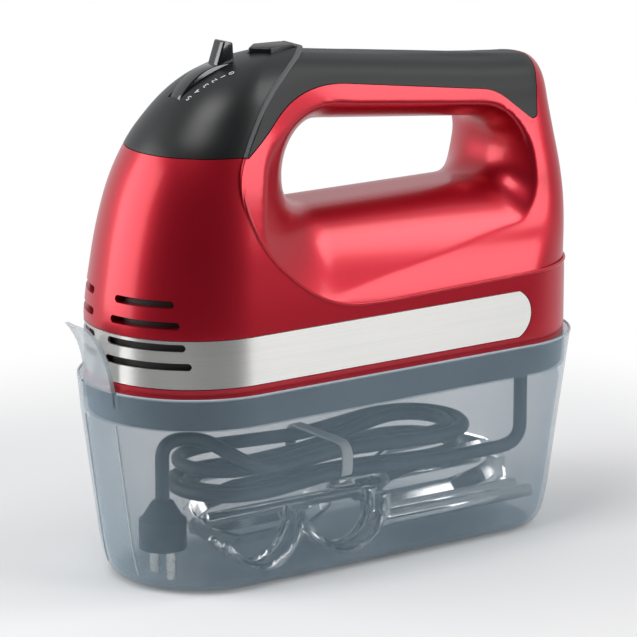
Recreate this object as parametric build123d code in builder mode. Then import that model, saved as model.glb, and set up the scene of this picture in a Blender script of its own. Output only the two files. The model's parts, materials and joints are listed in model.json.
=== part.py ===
import math
import os

from build123d import *

os.makedirs("parts", exist_ok=True)

# A hand mixer standing in its push-on storage case, with the tools and the cord inside the case.
# Millimetres. +Z is up, -X is the nose, +X the rear, and the origin lies on the table under the middle.

# Main sizes of the mixer
body_half = 43.5  # half the width of the body at the steel band
rear_x = 108.0
base_z = 68.1  # underside of the mixer as it rests in the case
top_z = 205.5
wall = 2.4
floor = 2.5
part_line = 0.15  # half of the joint line between the cover, the grip and the housing
crease_step = 0.8  # how far the nose stands proud of the handle zone
seam_z = 94.0
run_gap = 0.05  # radial gap of a turning shaft in its hole

# Steel band round the nose and the sides
band_low = 84.5
band_high = 104.0
band_end = 74.0
band_depth = 0.9
band_gap = 0.1

# Finger opening under the handle. Each corner of its side view: narrowest place, place at the lip,
# distances from the middle where the wall starts to roll outwards and where the lip is, both rounds.
opening_corners = (
    ((-27.5, 143.5), (-48.5, 116.0), (8.0, 39.0), (15.5, 32.0)),
    ((80.0, 143.5), (88.5, 130.0), (6.0, 30.0), (12.5, 14.0)),
    ((80.0, 168.0), (88.0, 176.5), (4.0, 21.5), (10.0, 22.0)),
    ((-27.5, 179.2), (-42.0, 197.0), (5.0, 28.0), (17.0, 32.0)),
)
roll_power = 1.8  # the higher, the sharper the lip
throat = 3.0
scoop_depths = (8.0, 13.0, 18.0, 23.0, 28.0, 33.0, 38.0, 44.0)

# Vents in the nose: height, first and last angle from the tip
vent_rows = ((89.6, 4.0, 52.0), (97.4, 6.0, 49.0), (107.6, 8.0, 46.0), (115.2, 10.0, 43.0))
vent_height = 3.0
vent_centre = -58.0

# Control cover, speed dial and eject button
cover_z = 173.0
dial_centre = (-46.7, 178.0)
dial_radius = 26.0
dial_width = 8.0
dial_gap = 0.6
dial_tab = 8.6  # height of the thumb tab over the rim
axle_radius = 2.5
button_front = -35.0
button_rear = -14.0
button_half = 6.5
button_top = 207.0
button_gap = 0.4
eject_travel = 3.0

# Drive: two spindles, the worm and the motor
spindle_x = -52.0
spindle_y = 21.0
spindle_radius = 6.95
spindle_top = 120.0
journal = 4.0
socket_radius = 2.8
socket_depth = 20.0
axis_z = 95.0
gear_tip = 16.6
gear_root = 14.4
gear_width = 12.0
teeth = 22
worm_radius = 4.1
shaft_radius = 3.0
frame_z = 110.0
frame_thick = 6.0
core_half = 24.3
core_front = 8.0
core_length = 28.0
air_gap = 0.5
armature_radius = 14.5
commutator_radius = 9.0
fan_radius = 22.0
fan_blades = 8

# Storage case
case_wall = 1.8
ledge_z = 68.0
case_height = 81.0
case_gap = 0.5  # round the mixer
case_floor = 2.0
tab_half = 13.0  # half angle of the pull tab
tab_top = 107.0

# Tools
beater_radius = 16.0
beater_cage = 65.0
beater_length = 150.0
strip_width = 7.5
strip_thick = 1.2
tool_shaft = 2.75  # radius
hook_radius = 9.0
hook_wire = 1.7  # radius
hook_pitch = 40.0
hook_turns = 1.75
tool_gap = 0.3

# Cord
cord_radius = 2.8
loop_step = 6.4
layer_step = 9.0
cord_x = 84.0
lobe_y = 24.0
waist_y = 17.5
lobe_x = 42.0
apex_x = 66.0
relief_end = 66.0
quarter = 17.0  # radius of the cord where it turns down
plug_at = (-82.0, -11.0)
plug_rise = 14.0  # the cord climbs this much off the hank before it turns down to the plug


def finish(piece, name):
    piece.label = name
    export_step(piece, f"parts/{name}.step")


# Outer form of the body. Each level: height, how much narrower than the band, centre of the nose round.
pod_levels = (
    (base_z, 1.2, -59.0),
    (84.0, 0.0, -59.0),
    (106.0, 0.0, -59.0),
    (127.0, 1.5, -57.5),
    (143.0, 3.3, -56.0),
    (159.0, 6.3, -54.0),
    (173.0, 10.5, -51.0),
    (182.0, 14.5, -48.0),
    (190.0, 19.0, -44.5),
    (196.0, 23.9, -41.0),
    (200.0, 28.3, -36.5),
    (203.0, 32.9, -31.0),
    (top_z, 38.5, -22.0),
)
pod_corner = 34.0
nose_centre = -59.0
# Stepped hollow of the nose and the lower body: low, high, inset, centre of the nose round, rear.
pod_steps = (
    (base_z + floor, 108.0, wall, nose_centre, rear_x - wall),
    (108.0, 143.0, 6.2, -56.5, rear_x - wall),
    (143.0, cover_z, 13.6, -52.0, 0.0),
    (cover_z, 189.0, 21.6, -45.5, 0.0),
    (189.0, 198.0, 29.5, -39.0, 0.0),
)
shoulder_z = 106.0  # the walls lean in above this height

# Each level of the handle zone: height, tilt, narrowing of the rear and of the front, rear, corner.
loop_levels = (
    (100.0, 0.0, 0.5, 0.0, 0.0, 34.0),
    (109.0, 0.0, 0.9, 0.1, 0.0, 34.0),
    (120.0, 0.0, 5.1, 0.9, 0.1, 28.0),
    (131.0, 1.5, 11.5, 1.8, 0.3, 20.0),
    (143.0, 3.0, 17.0, 3.3, 0.6, 15.0),
    (158.0, 5.0, 20.0, 6.1, 1.2, 14.0),
    (174.0, 7.0, 22.2, 10.9, 2.0, 13.5),
    (187.0, 7.0, 23.0, 17.6, 2.6, 13.5),
    (194.0, 7.0, 23.8, 22.0, 3.2, 13.5),
    (199.0, 7.0, 26.5, 26.4, 4.8, 13.0),
    (202.4, 7.0, 30.9, 30.8, 7.6, 11.0),
    (204.2, 7.0, 37.0, 36.8, 12.0, 5.5),
)
# Hollow of the handle zone. Each level under the saddle: height, narrowing, and the two boxes of the front.
saddle_levels = ((97.0, 3.4), (109.0, 3.8), (118.0, 8.6), (126.0, 19.0), (132.0, 28.0))
column_hollow = ((-66.0, -38.0), 13.0, (124.0, 192.0))
neck_hollow = ((-42.0, -11.0), 12.5, (183.5, 198.0))
pod_count = 14
loop_count = 14
nose_steps = 24
corner_steps = 7
flare_steps = 10
rim_steps = 8
crease_steps = 24
flare_start = -52.0
flare_end = 6.0
loop_front = -80.0


def between(rows, height):
    """Values of a table of levels at any height, by a smooth cubic through its rows."""
    last = len(rows) - 1
    low = max(i for i in range(last) if rows[i][0] <= height + 1e-9)
    span = rows[low + 1][0] - rows[low][0]
    t = (height - rows[low][0]) / span
    values = []
    for column in range(1, len(rows[0])):
        slopes = []
        for i in (low, low + 1):
            before = rows[max(i - 1, 0)]
            after = rows[min(i + 1, last)]
            slopes.append((after[column] - before[column]) / (after[0] - before[0]) * span)
        start = rows[low][column]
        end = rows[low + 1][column]
        rise = end - start
        bend = slopes[0] + slopes[1] - 2 * rise
        values.append(start + t * (slopes[0] + t * (rise - slopes[0] - bend + t * bend)))
    return values


def heights(low, high, count):
    """Heights that come closer together towards the crown."""
    return [low + (high - low) * math.sin(math.pi / 2 * i / count) for i in range(count + 1)]


def rounded(centre_x, centre_y, radius, first, last, steps):
    """Points of a round, from one angle to another."""
    angles = [math.radians(first + (last - first) * i / steps) for i in range(steps + 1)]
    return [(centre_x + radius * math.cos(a), centre_y + radius * math.sin(a)) for a in angles]


def stadium(level, half, centre, rear, corner):
    """Rounded outline: a half circle at the nose, straight sides, round corners at the rear."""
    points = rounded(centre, 0, half, 90, 270, nose_steps)
    points += rounded(rear - corner, corner - half, corner, -90, 0, corner_steps)
    points += rounded(rear - corner, half - corner, corner, 0, 90, corner_steps)
    with BuildSketch(Plane.XY.offset(level)) as outline:
        with BuildLine():
            Polyline(*points, close=True)
        make_face()
    return outline.sketch.face()


def pod_form():
    """The nose and the lower body."""
    sections = []
    for level in [base_z, pod_levels[1][0]] + heights(shoulder_z, top_z, pod_count):
        narrow, centre = between(pod_levels, level)
        half = body_half - narrow
        sections.append(stadium(level, half, centre, rear_x, min(pod_corner, half - 1.0)))
    with BuildPart() as form:
        loft(sections=sections, ruled=True)
    return form.part


def pod_core(low, high, inset, centre, rear):
    """A plain upright core inside the nose and the lower body."""
    half = body_half - inset
    with BuildPart() as core:
        add(stadium(low, half, centre, rear, min(pod_corner - inset, half - 1.0)))
        extrude(amount=high - low)
    return core.part


def loop_section(level, tilt, rear_half, front_half, rear, corner):
    lean = math.radians(tilt)
    plane = Plane(
        origin=(0, 0, level),
        x_dir=(math.cos(lean), 0, -math.sin(lean)),
        z_dir=(math.sin(lean), 0, math.cos(lean)),
    )
    near = [(loop_front, -front_half)]
    for i in range(flare_steps + 1):
        t = i / flare_steps
        ease = t * t * (3 - 2 * t)
        near.append((flare_start + t * (flare_end - flare_start), ease * (front_half - rear_half) - front_half))
    near += rounded(rear - corner, corner - rear_half, corner, -90, 0, corner_steps)
    points = near + [(x, -y) for x, y in reversed(near)]
    with BuildSketch(plane) as outline:
        with BuildLine():
            Polyline(*points, close=True)
        make_face()
    return outline.sketch.face()


def opening_outline(y):
    """The finger opening in side view, at a distance y from the middle."""
    corners = []
    rounds = []
    for narrow, lip, (start, end), (inner, outer) in opening_corners:
        part = (max(y - start, 0) / (end - start)) ** roll_power
        corners.append([n + (f - n) * part for n, f in zip(narrow, lip)])
        rounds.append(inner + (outer - inner) * min(part, 1.2))
    points = []
    for i, (corner, radius) in enumerate(zip(corners, rounds)):
        here = Vector(*corner)
        back = (Vector(*corners[i - 1]) - here).normalized()
        ahead = (Vector(*corners[(i + 1) % len(corners)]) - here).normalized()
        half = math.acos(back.dot(ahead)) / 2
        centre = here + (back + ahead).normalized() * (radius / math.sin(half))
        leave = here + back * (radius / math.tan(half)) - centre
        first = math.degrees(math.atan2(leave.Y, leave.X))
        points += rounded(centre.X, centre.Y, radius, first, first + 180 - math.degrees(2 * half), rim_steps)
    with BuildSketch(Plane.XZ.offset(y)) as outline:
        with BuildLine():
            Polyline(*points, close=True)
        make_face()
    return outline.sketch.face()


def loop_form():
    """The handle, the rear column and the saddle under the fingers."""
    sections = []
    foot = loop_levels[0][0]
    for level in heights(foot, loop_levels[-1][0], loop_count):
        tilt, narrow, front_narrow, forward, corner = between(loop_levels, level)
        half = body_half - narrow
        front_half = body_half - front_narrow - crease_step
        corner = min(corner, half - 0.5)
        sections.append(loop_section(level, tilt, half, front_half, rear_x - forward, corner))
    with BuildPart() as horn:
        loft(sections=[opening_outline(y) for y in (throat, *scoop_depths)], ruled=True)
    far_horn = mirror(horn.part, about=Plane.XZ)
    with BuildPart() as form:
        loft(sections=sections, ruled=True)
        extrude(opening_outline(throat), amount=2 * throat, dir=(0, 1, 0), mode=Mode.SUBTRACT)
        add(horn.part, mode=Mode.SUBTRACT, clean=False)
        add(far_horn, mode=Mode.SUBTRACT, clean=False)
    return form.part


pod_outer = pod_form()
loop_outer = loop_form()
band_bed = pod_core(band_low, band_high, band_depth, nose_centre, rear_x - band_depth)

# Side view zones, cut right across the body
zone_half = 60.0
crease_points = (
    (-10.0, 206.5),
    (-29.5, 197.5),
    (-43.0, 188.5),
    (-56.0, 173.0),
    (-60.5, 160.0),
    (-57.5, 145.0),
    (-49.0, 131.2),
    (-33.0, 117.3),
    (-18.0, 110.8),
    (0.0, 109.2),
)
grip_points = (
    (-56.7, cover_z),
    (-14.0, 197.2),
    (66.0, 186.0),
    (91.0, 168.5),
    (97.0, 173.0),
    (94.6, 184.0),
    (99.0, 197.0),
)
grip_rounds = (22.0, 26.0, 3.0, 2.5, 8.0)
far = 150.0
sky = 250.0


def crease_zone(shift):
    """Everything behind the crease line; shift moves it towards the nose."""
    with BuildPart() as zone:
        with BuildSketch(Plane.XZ.offset(zone_half)):
            with BuildLine():
                points = [(x - shift, z) for x, z in crease_points]
                curve = Spline(*points, tangents=((-19.5, -9.0), (1.0, 0.0)), mode=Mode.PRIVATE)
                crease = Polyline(*[curve @ (i / crease_steps) for i in range(crease_steps + 1)])
                Polyline(crease @ 1, (far, 112.0), (far, sky), (points[0][0], sky), crease @ 0)
            make_face()
        extrude(amount=-2 * zone_half)
    return zone.part


def grip_zone(shift):
    """Everything above the lower edge of the handle grip; shift lowers the edge."""
    with BuildPart() as zone:
        with BuildSketch(Plane.XZ.offset(zone_half)):
            with BuildLine():
                points = [(x + shift, z - shift) for x, z in grip_points]
                edge = FilletPolyline(*points, radius=list(grip_rounds))
                Polyline(edge @ 1, (points[-1][0], sky), (-far, sky), (-far, points[0][1]), edge @ 0)
            make_face()
        extrude(amount=-2 * zone_half)
    return zone.part


def slab(low, high):
    """A block across the whole body between two heights."""
    with BuildPart() as block:
        with BuildSketch(Plane.XY.offset(low)):
            Rectangle(2 * far, 2 * zone_half)
        extrude(amount=high - low)
    return block.part


def band_zone(gap):
    with BuildPart() as zone:
        with BuildSketch(Plane.XZ.offset(zone_half)):
            with BuildLine():
                low = band_low + gap
                high = band_high - gap
                middle = (low + high) / 2
                end = band_end - gap
                base = Line((-far, low), (end - 6.0, low))
                cap = ThreePointArc(base @ 1, (end, middle), (end - 6.0, high))
                Polyline(cap @ 1, (-far, high), base @ 0)
            make_face()
        extrude(amount=-2 * zone_half)
    return zone.part


def vent_cutter(height, first, last, side):
    reach = 70.0
    angles = [math.radians(180 + side * angle) for angle in (first, last)]
    with BuildPart() as cutter:
        with BuildSketch(Plane.XY.offset(height - vent_height / 2)):
            with BuildLine():
                corners = [(vent_centre + reach * math.cos(a), reach * math.sin(a)) for a in angles]
                Polyline((vent_centre, 0), *corners, close=True)
            make_face()
        extrude(amount=vent_height)
    return cutter.part


crease_back = crease_zone(0)
vents = [vent_cutter(*row, side) for row in vent_rows for side in (-1, 1)]
bed_zone = band_zone(0)
with BuildPart() as recess:
    add(bed_zone)
    add(band_bed, mode=Mode.SUBTRACT)
with BuildPart() as pod_shell:
    add(pod_outer)
    for low, high, inset, centre, rear in pod_steps:
        add(pod_core(low, high, inset, centre, rear), mode=Mode.SUBTRACT)
with BuildPart() as loop_shell:
    add(loop_outer)
    add(crease_back, mode=Mode.INTERSECT)
    sections = []
    for level, narrow in saddle_levels:
        half = body_half - narrow
        corner = min(pod_corner - wall, half - 1.0)
        sections.append(stadium(level, half, -body_half, rear_x - narrow - wall, corner))
    loft(sections=sections, ruled=True, mode=Mode.SUBTRACT)
    for (front, back), half, (low, high) in (column_hollow, neck_hollow):
        with BuildSketch(Plane.XY.offset(low)):
            with Locations(((front + back) / 2, 0)):
                Rectangle(back - front, 2 * half)
        extrude(amount=high - low, mode=Mode.SUBTRACT)

# Lower housing: a tray with the holes for the spindles and the cord
relief_radius = 6.0
screw_places = ((-78.0, 0.0), (-20.0, 30.0), (-20.0, -30.0), (60.0, 0.0))
screw_radius = 3.0
with BuildPart() as lower_housing:
    add(pod_shell.part)
    add(slab(base_z - floor, seam_z), mode=Mode.INTERSECT)
    add(recess.part, mode=Mode.SUBTRACT)
    for cutter in vents[:4]:
        add(cutter, mode=Mode.SUBTRACT)
    with BuildSketch(Plane.XY.offset(base_z - floor)):
        with Locations((spindle_x, -spindle_y), (spindle_x, spindle_y)):
            Circle(spindle_radius + run_gap)
        with Locations((cord_x, -lobe_y)):
            Circle(relief_radius)
        with Locations(*screw_places):
            Circle(screw_radius)
    extrude(amount=3 * floor, mode=Mode.SUBTRACT)
finish(lower_housing.part, "lower_housing")

# Upper housing: nose, shoulders, finger opening and rear column in one moulding
with BuildPart() as upper_housing:
    add(pod_shell.part)
    add(slab(seam_z, cover_z), mode=Mode.INTERSECT)
    add(crease_back, mode=Mode.SUBTRACT)
    add(recess.part, mode=Mode.SUBTRACT)
    add(loop_shell.part)
    add(grip_zone(part_line), mode=Mode.SUBTRACT)
    for cutter in vents:
        add(cutter, mode=Mode.SUBTRACT)
finish(upper_housing.part, "upper_housing")

def button_outline(grow):
    with BuildLine() as outline:
        Polyline(
            (button_front - grow, 0),
            (button_front + 7.0, -button_half - grow),
            (button_rear + grow, -button_half * 0.75 - grow),
            (button_rear + grow, button_half * 0.75 + grow),
            (button_front + 7.0, button_half + grow),
            close=True,
        )
    return outline.wire()


# Handle grip: the soft top of the handle
with BuildPart() as handle_grip:
    add(loop_shell.part)
    add(grip_zone(-part_line), mode=Mode.INTERSECT)
    with BuildSketch(Plane.XY.offset(cover_z)):
        make_face(button_outline(button_gap))
    extrude(amount=sky - cover_z, mode=Mode.SUBTRACT)
finish(handle_grip.part, "handle_grip")

# Control cover: the cap of the nose, with the slot of the dial and the hole of the eject button
dial_x, dial_z = dial_centre
slot_half = dial_width / 2 + dial_gap


with BuildPart() as control_cover:
    add(pod_shell.part)
    add(slab(cover_z + 2 * part_line, sky), mode=Mode.INTERSECT)
    add(crease_zone(2 * part_line), mode=Mode.SUBTRACT)
    with BuildSketch(Plane.XZ.offset(slot_half)):
        with Locations((dial_x, dial_z)):
            Circle(dial_radius + dial_gap)
    extrude(amount=-2 * slot_half, mode=Mode.SUBTRACT)
    with BuildSketch(Plane.XY.offset(cover_z)):
        make_face(button_outline(button_gap))
    extrude(amount=sky - cover_z, mode=Mode.SUBTRACT)
finish(control_cover.part, "control_cover")

# Steel band in its recess
with BuildPart() as trim_band:
    add(pod_outer)
    add(band_bed, mode=Mode.SUBTRACT)
    add(band_zone(band_gap), mode=Mode.INTERSECT)
    for cutter in vents[:4]:
        add(cutter, mode=Mode.SUBTRACT)
finish(trim_band.part, "trim_band")

# Speed dial: a toothless sector on a hub, with the thumb tab at the zero place
dial_turn = 45.0
dial_rim = 6.0
dial_first = 24.0
dial_last = 156.0
tab_angle = 90.0
tab_wide = 9.6
tab_thick = 5.0
with BuildPart() as speed_dial:
    with BuildSketch(Plane.XZ.offset(dial_width / 2)):
        with BuildLine():
            ends = []
            for radius in (dial_radius, dial_radius - dial_rim):
                middle = math.radians((dial_first + dial_last) / 2)
                arc_points = [
                    (dial_x + radius * math.cos(a), dial_z + radius * math.sin(a))
                    for a in (math.radians(dial_first), middle, math.radians(dial_last))
                ]
                ends.append(ThreePointArc(*arc_points))
            Line(ends[0] @ 0, ends[1] @ 0)
            Line(ends[0] @ 1, ends[1] @ 1)
        make_face()
        with Locations((dial_x, dial_z)):
            Circle(axle_radius + 2.5)
        for spoke in (50.0, 90.0, 130.0):
            reach = dial_radius - dial_rim / 2
            angle = math.radians(spoke)
            with Locations((dial_x + reach / 2 * math.cos(angle), dial_z + reach / 2 * math.sin(angle))):
                Rectangle(reach, 4.0, rotation=spoke)
        with Locations((dial_x, dial_z)):
            Circle(axle_radius + run_gap, mode=Mode.SUBTRACT)
    extrude(amount=-dial_width)
    with BuildSketch(Plane.XZ.offset(tab_wide / 2)):
        with Locations((dial_x, dial_z + dial_radius + dial_tab / 2 - 1.0)):
            RectangleRounded(tab_thick, dial_tab + 2.0, 1.6)
    extrude(amount=-tab_wide)
finish(speed_dial.part, "speed_dial")

axle_half = 7.0
with BuildPart() as dial_axle:
    with BuildSketch(Plane.XZ.offset(axle_half)):
        with Locations((dial_x, dial_z)):
            Circle(axle_radius)
    extrude(amount=-2 * axle_half)
finish(dial_axle.part, "dial_axle")

# Drive frame: a plate over the gears on four posts, with the front bearing and the switch tower
frame_front = -78.0
frame_rear = -24.0
frame_half = 30.0
post_radius = 3.5
post_places = ((-74.0, 25.0), (-74.0, -25.0), (-30.0, 26.5), (-30.0, -26.5))
bearing_long = 6.0
bearing_half = 6.0
tower_front = -60.0
tower_rear = -47.0
tower_half = 7.0
tower_top = 140.0
inner_floor = base_z + floor
with BuildPart() as drive_frame:
    with BuildSketch(Plane.XY.offset(frame_z)):
        with Locations(((frame_front + frame_rear) / 2, 0)):
            Rectangle(frame_rear - frame_front, 2 * frame_half)
        with Locations((spindle_x, -spindle_y), (spindle_x, spindle_y)):
            Circle(journal + run_gap, mode=Mode.SUBTRACT)
    extrude(amount=frame_thick)
    with BuildSketch(Plane.XY.offset(inner_floor)):
        with Locations(*post_places):
            Rectangle(2 * post_radius, 2 * post_radius)
    extrude(amount=frame_z - inner_floor)
    with BuildSketch(Plane.YZ.offset(frame_front)):
        with Locations((0, (axis_z - bearing_half + frame_z) / 2)):
            Rectangle(2 * bearing_half, frame_z - axis_z + bearing_half)
        with Locations((0, axis_z)):
            Circle(shaft_radius + run_gap, mode=Mode.SUBTRACT)
    extrude(amount=bearing_long)
    with BuildSketch(Plane.XY.offset(frame_z + frame_thick)):
        with Locations(((tower_front + tower_rear) / 2, 0)):
            Rectangle(tower_rear - tower_front, 2 * tower_half)
    extrude(amount=tower_top - frame_z - frame_thick)
finish(drive_frame.part, "drive_frame")

# Switch block: it carries the axle of the dial between two cheeks
switch_rear = -40.0
switch_base = 10.0
cheek_top = dial_z + axle_radius + 3.5
with BuildPart() as switch_block:
    with BuildSketch(Plane.XY.offset(tower_top)):
        with Locations(((tower_front + switch_rear) / 2, 0)):
            Rectangle(switch_rear - tower_front, 2 * tower_half)
    extrude(amount=cheek_top - tower_top)
    with BuildSketch(Plane.XY.offset(tower_top + switch_base)):
        with Locations(((tower_front + switch_rear) / 2, 0)):
            Rectangle(2 * far, 2 * slot_half)
    extrude(amount=far, mode=Mode.SUBTRACT)
    with BuildSketch(Plane.XZ.offset(tower_half)):
        with Locations((dial_x, dial_z)):
            Circle(axle_radius)
    extrude(amount=-2 * tower_half, mode=Mode.SUBTRACT)
finish(switch_block.part, "switch_block")

# Eject button, and the fork that carries its push past the dial to the spindles
fork_top = 194.0
fork_low = 188.0
leg_front = -45.0
leg_rear = -41.0
leg_in = 8.0
leg_out = 11.0
yoke_low = 126.0
yoke_high = 130.0
cross_front = -20.0
wing_front = spindle_x - journal
wing_rear = -49.0
wing_out = spindle_y + journal
with BuildPart() as eject_button:
    with BuildSketch(Plane.XY.offset(fork_top)):
        make_face(button_outline(0))
    extrude(amount=button_top - fork_top)
    chamfer(eject_button.faces().sort_by(Axis.Z)[-1].edges(), 1.2)
    with BuildSketch(Plane.XZ.offset(slot_half)):
        with Locations((dial_x, dial_z), (dial_x, dial_z + eject_travel)):
            Circle(dial_radius + dial_gap)
    extrude(amount=-2 * slot_half, mode=Mode.SUBTRACT)
finish(eject_button.part, "eject_button")

with BuildPart() as eject_fork:
    with BuildSketch(Plane.XY.offset(fork_low)):
        with Locations(((cross_front + button_rear) / 2, 0)):
            Rectangle(button_rear - cross_front, 2 * leg_out)
        with Locations(
            ((leg_front + button_rear) / 2, (leg_in + leg_out) / 2),
            ((leg_front + button_rear) / 2, -(leg_in + leg_out) / 2),
        ):
            Rectangle(button_rear - leg_front, leg_out - leg_in)
    extrude(amount=fork_top - fork_low)
    with BuildSketch(Plane.XY.offset(yoke_low)):
        with Locations(
            ((leg_front + leg_rear) / 2, (leg_in + leg_out) / 2),
            ((leg_front + leg_rear) / 2, -(leg_in + leg_out) / 2),
        ):
            Rectangle(leg_rear - leg_front, leg_out - leg_in)
    extrude(amount=fork_low - yoke_low)
    with BuildSketch(Plane.XY.offset(yoke_low)):
        with Locations(((leg_front + leg_rear) / 2, 0)):
            Rectangle(leg_rear - leg_front, 2 * leg_out)
        for side in (-1, 1):
            with Locations(((wing_front + leg_rear) / 2, side * (leg_in + leg_out) / 2)):
                Rectangle(leg_rear - wing_front, leg_out - leg_in)
            with Locations(((wing_front + wing_rear) / 2, side * (leg_in + wing_out) / 2)):
                Rectangle(wing_rear - wing_front, wing_out - leg_in)
    extrude(amount=yoke_high - yoke_low)
finish(eject_fork.part, "eject_fork")

spring_radius = 3.4
spring_wire = 0.9
with BuildPart() as eject_spring:
    with BuildSketch(Plane.XY.offset(frame_z + frame_thick)):
        with Locations(((leg_front + leg_rear) / 2, 0)):
            Circle(spring_radius)
            Circle(spring_radius - spring_wire, mode=Mode.SUBTRACT)
    extrude(amount=yoke_low - frame_z - frame_thick)
finish(eject_spring.part, "eject_spring")

# Spindles with their worm wheels
gear_low = axis_z - gear_width / 2
for side, name in ((-1, "left"), (1, "right")):
    place = (spindle_x, side * spindle_y)
    with BuildPart() as spindle:
        with BuildSketch(Plane.XY.offset(base_z + 0.4)):
            with Locations(place):
                Circle(spindle_radius)
                Circle(socket_radius, mode=Mode.SUBTRACT)
        extrude(amount=socket_depth)
        with BuildSketch(Plane.XY.offset(base_z + 0.4 + socket_depth)):
            with Locations(place):
                Circle(journal)
        extrude(amount=spindle_top - base_z - 0.4 - socket_depth)
    finish(spindle.part, f"{name}_spindle")
    with BuildPart() as worm_wheel:
        with BuildSketch(Plane.XY.offset(gear_low)):
            with Locations(place):
                Circle(gear_root)
                with PolarLocations(gear_root, teeth):
                    Trapezoid(2.6, 2 * (gear_tip - gear_root), 78, rotation=-90)
                Circle(journal, mode=Mode.SUBTRACT)
        extrude(amount=gear_width)
    finish(worm_wheel.part, f"{name}_worm_wheel")

# Motor: armature on its shaft, wound core, brushes, fan and bearings
shaft_front = -80.0
shaft_rear = 70.0
worm_front = -66.0
worm_rear = -38.0
brush_x = -16.0
brush_plate = 4.0


def turned(spans):
    """A solid of revolution about the motor axis from (start, end, radius) spans."""
    with BuildPart() as solid:
        for start, end, radius in spans:
            with BuildSketch(Plane.YZ.offset(start)):
                with Locations((0, axis_z)):
                    Circle(radius)
            extrude(amount=end - start)
    return solid.part


armature_shaft = turned(((shaft_front, shaft_rear, shaft_radius), (worm_front, worm_rear, worm_radius)))
finish(armature_shaft, "armature_shaft")

slot_count = 8
with BuildPart() as armature_core:
    with BuildSketch(Plane.YZ.offset(core_front)):
        with Locations((0, axis_z)):
            Circle(armature_radius)
            with PolarLocations(armature_radius, slot_count):
                Rectangle(7.0, 2.0, mode=Mode.SUBTRACT)
            Circle(shaft_radius, mode=Mode.SUBTRACT)
    extrude(amount=core_length)
finish(armature_core.part, "armature_core")

commutator_front = brush_x + brush_plate + 1.0
commutator_long = 11.0
commutator_bars = 16
with BuildPart() as commutator:
    with BuildSketch(Plane.YZ.offset(commutator_front)):
        with Locations((0, axis_z)):
            RegularPolygon(commutator_radius, commutator_bars)
            Circle(shaft_radius, mode=Mode.SUBTRACT)
    extrude(amount=commutator_long)
finish(commutator.part, "commutator")

fan_front = 46.0
fan_disc = 1.6
fan_long = 10.0
with BuildPart() as cooling_fan:
    with BuildSketch(Plane.YZ.offset(fan_front)):
        with Locations((0, axis_z)):
            RegularPolygon(fan_radius, 3 * fan_blades)
            Circle(shaft_radius, mode=Mode.SUBTRACT)
    extrude(amount=fan_disc)
    with BuildSketch(Plane.YZ.offset(fan_front)):
        with Locations((0, axis_z)):
            Circle(6.0)
            with PolarLocations((fan_radius + 5.0) / 2, fan_blades):
                Rectangle(fan_radius - 5.0, 1.2)
            Circle(shaft_radius, mode=Mode.SUBTRACT)
    extrude(amount=fan_long)
finish(cooling_fan.part, "cooling_fan")

# Field core with two coils through its windows
window_in = armature_radius + air_gap
window_out = 20.0
window_half = 12.0
coil_gap = 0.3
coil_over = 5.0
ring_sides = 16
with BuildPart() as field_core:
    with BuildSketch(Plane.YZ.offset(core_front)):
        with Locations((0, axis_z)):
            RectangleRounded(2 * core_half, 2 * core_half, 5.0)
            Rectangle(2 * window_out, 2 * window_half, mode=Mode.SUBTRACT)
            Circle(window_in, mode=Mode.SUBTRACT)
    extrude(amount=core_length)
finish(field_core.part, "field_core")

for side, name in ((1, "upper"), (-1, "lower")):
    with BuildPart() as coil:
        bar_in = window_in + coil_gap
        bar_out = window_out - coil_gap
        bar_high = window_half - coil_gap
        with BuildSketch(Plane.YZ.offset(core_front - coil_over)):
            for flank in (-1, 1):
                with Locations((flank * (bar_in + bar_out) / 2, axis_z + side * (bar_high + 0.5) / 2)):
                    Rectangle(bar_out - bar_in, bar_high - 0.5)
        extrude(amount=core_length + 2 * coil_over)
        for start in (core_front - coil_over, core_front + core_length + coil_gap):
            with BuildSketch(Plane.YZ.offset(start)):
                with Locations((0, axis_z)):
                    RegularPolygon(bar_out, ring_sides, major_radius=False)
                    RegularPolygon(bar_in, ring_sides, major_radius=False, mode=Mode.SUBTRACT)
                with Locations((0, axis_z - side * (bar_out - 0.5))):
                    Rectangle(3 * bar_out, 2 * bar_out, mode=Mode.SUBTRACT)
            extrude(amount=coil_over - coil_gap)
    finish(coil.part, f"{name}_field_coil")

brush_half = 21.0
with BuildPart() as brush_plate_part:
    with BuildSketch(Plane.YZ.offset(brush_x)):
        with Locations((0, (inner_floor + frame_z) / 2)):
            Rectangle(2 * brush_half, frame_z - inner_floor)
        with Locations((0, axis_z)):
            Circle(shaft_radius + run_gap, mode=Mode.SUBTRACT)
    extrude(amount=brush_plate)
finish(brush_plate_part.part, "brush_plate")

holder_in = commutator_radius + 1.5
holder_out = brush_half
holder_half = 4.0
brush_size = 2.6
brush_long = 8.0
holder_start = brush_x + brush_plate
for side, name in ((-1, "left"), (1, "right")):
    with BuildPart() as holder:
        with BuildSketch(Plane.XZ.offset(-side * holder_in)):
            with Locations((holder_start + holder_half, axis_z)):
                Rectangle(2 * holder_half, 2 * holder_half)
                Rectangle(2 * brush_size, 2 * brush_size, mode=Mode.SUBTRACT)
        extrude(amount=-side * (holder_out - holder_in))
    finish(holder.part, f"{name}_brush_holder")
    with BuildPart() as brush:
        with BuildSketch(Plane.XZ.offset(-side * (commutator_radius + 0.3))):
            with Locations((holder_start + holder_half, axis_z)):
                Rectangle(2 * brush_size, 2 * brush_size)
        extrude(amount=-side * brush_long)
    finish(brush.part, f"{name}_brush")

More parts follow.
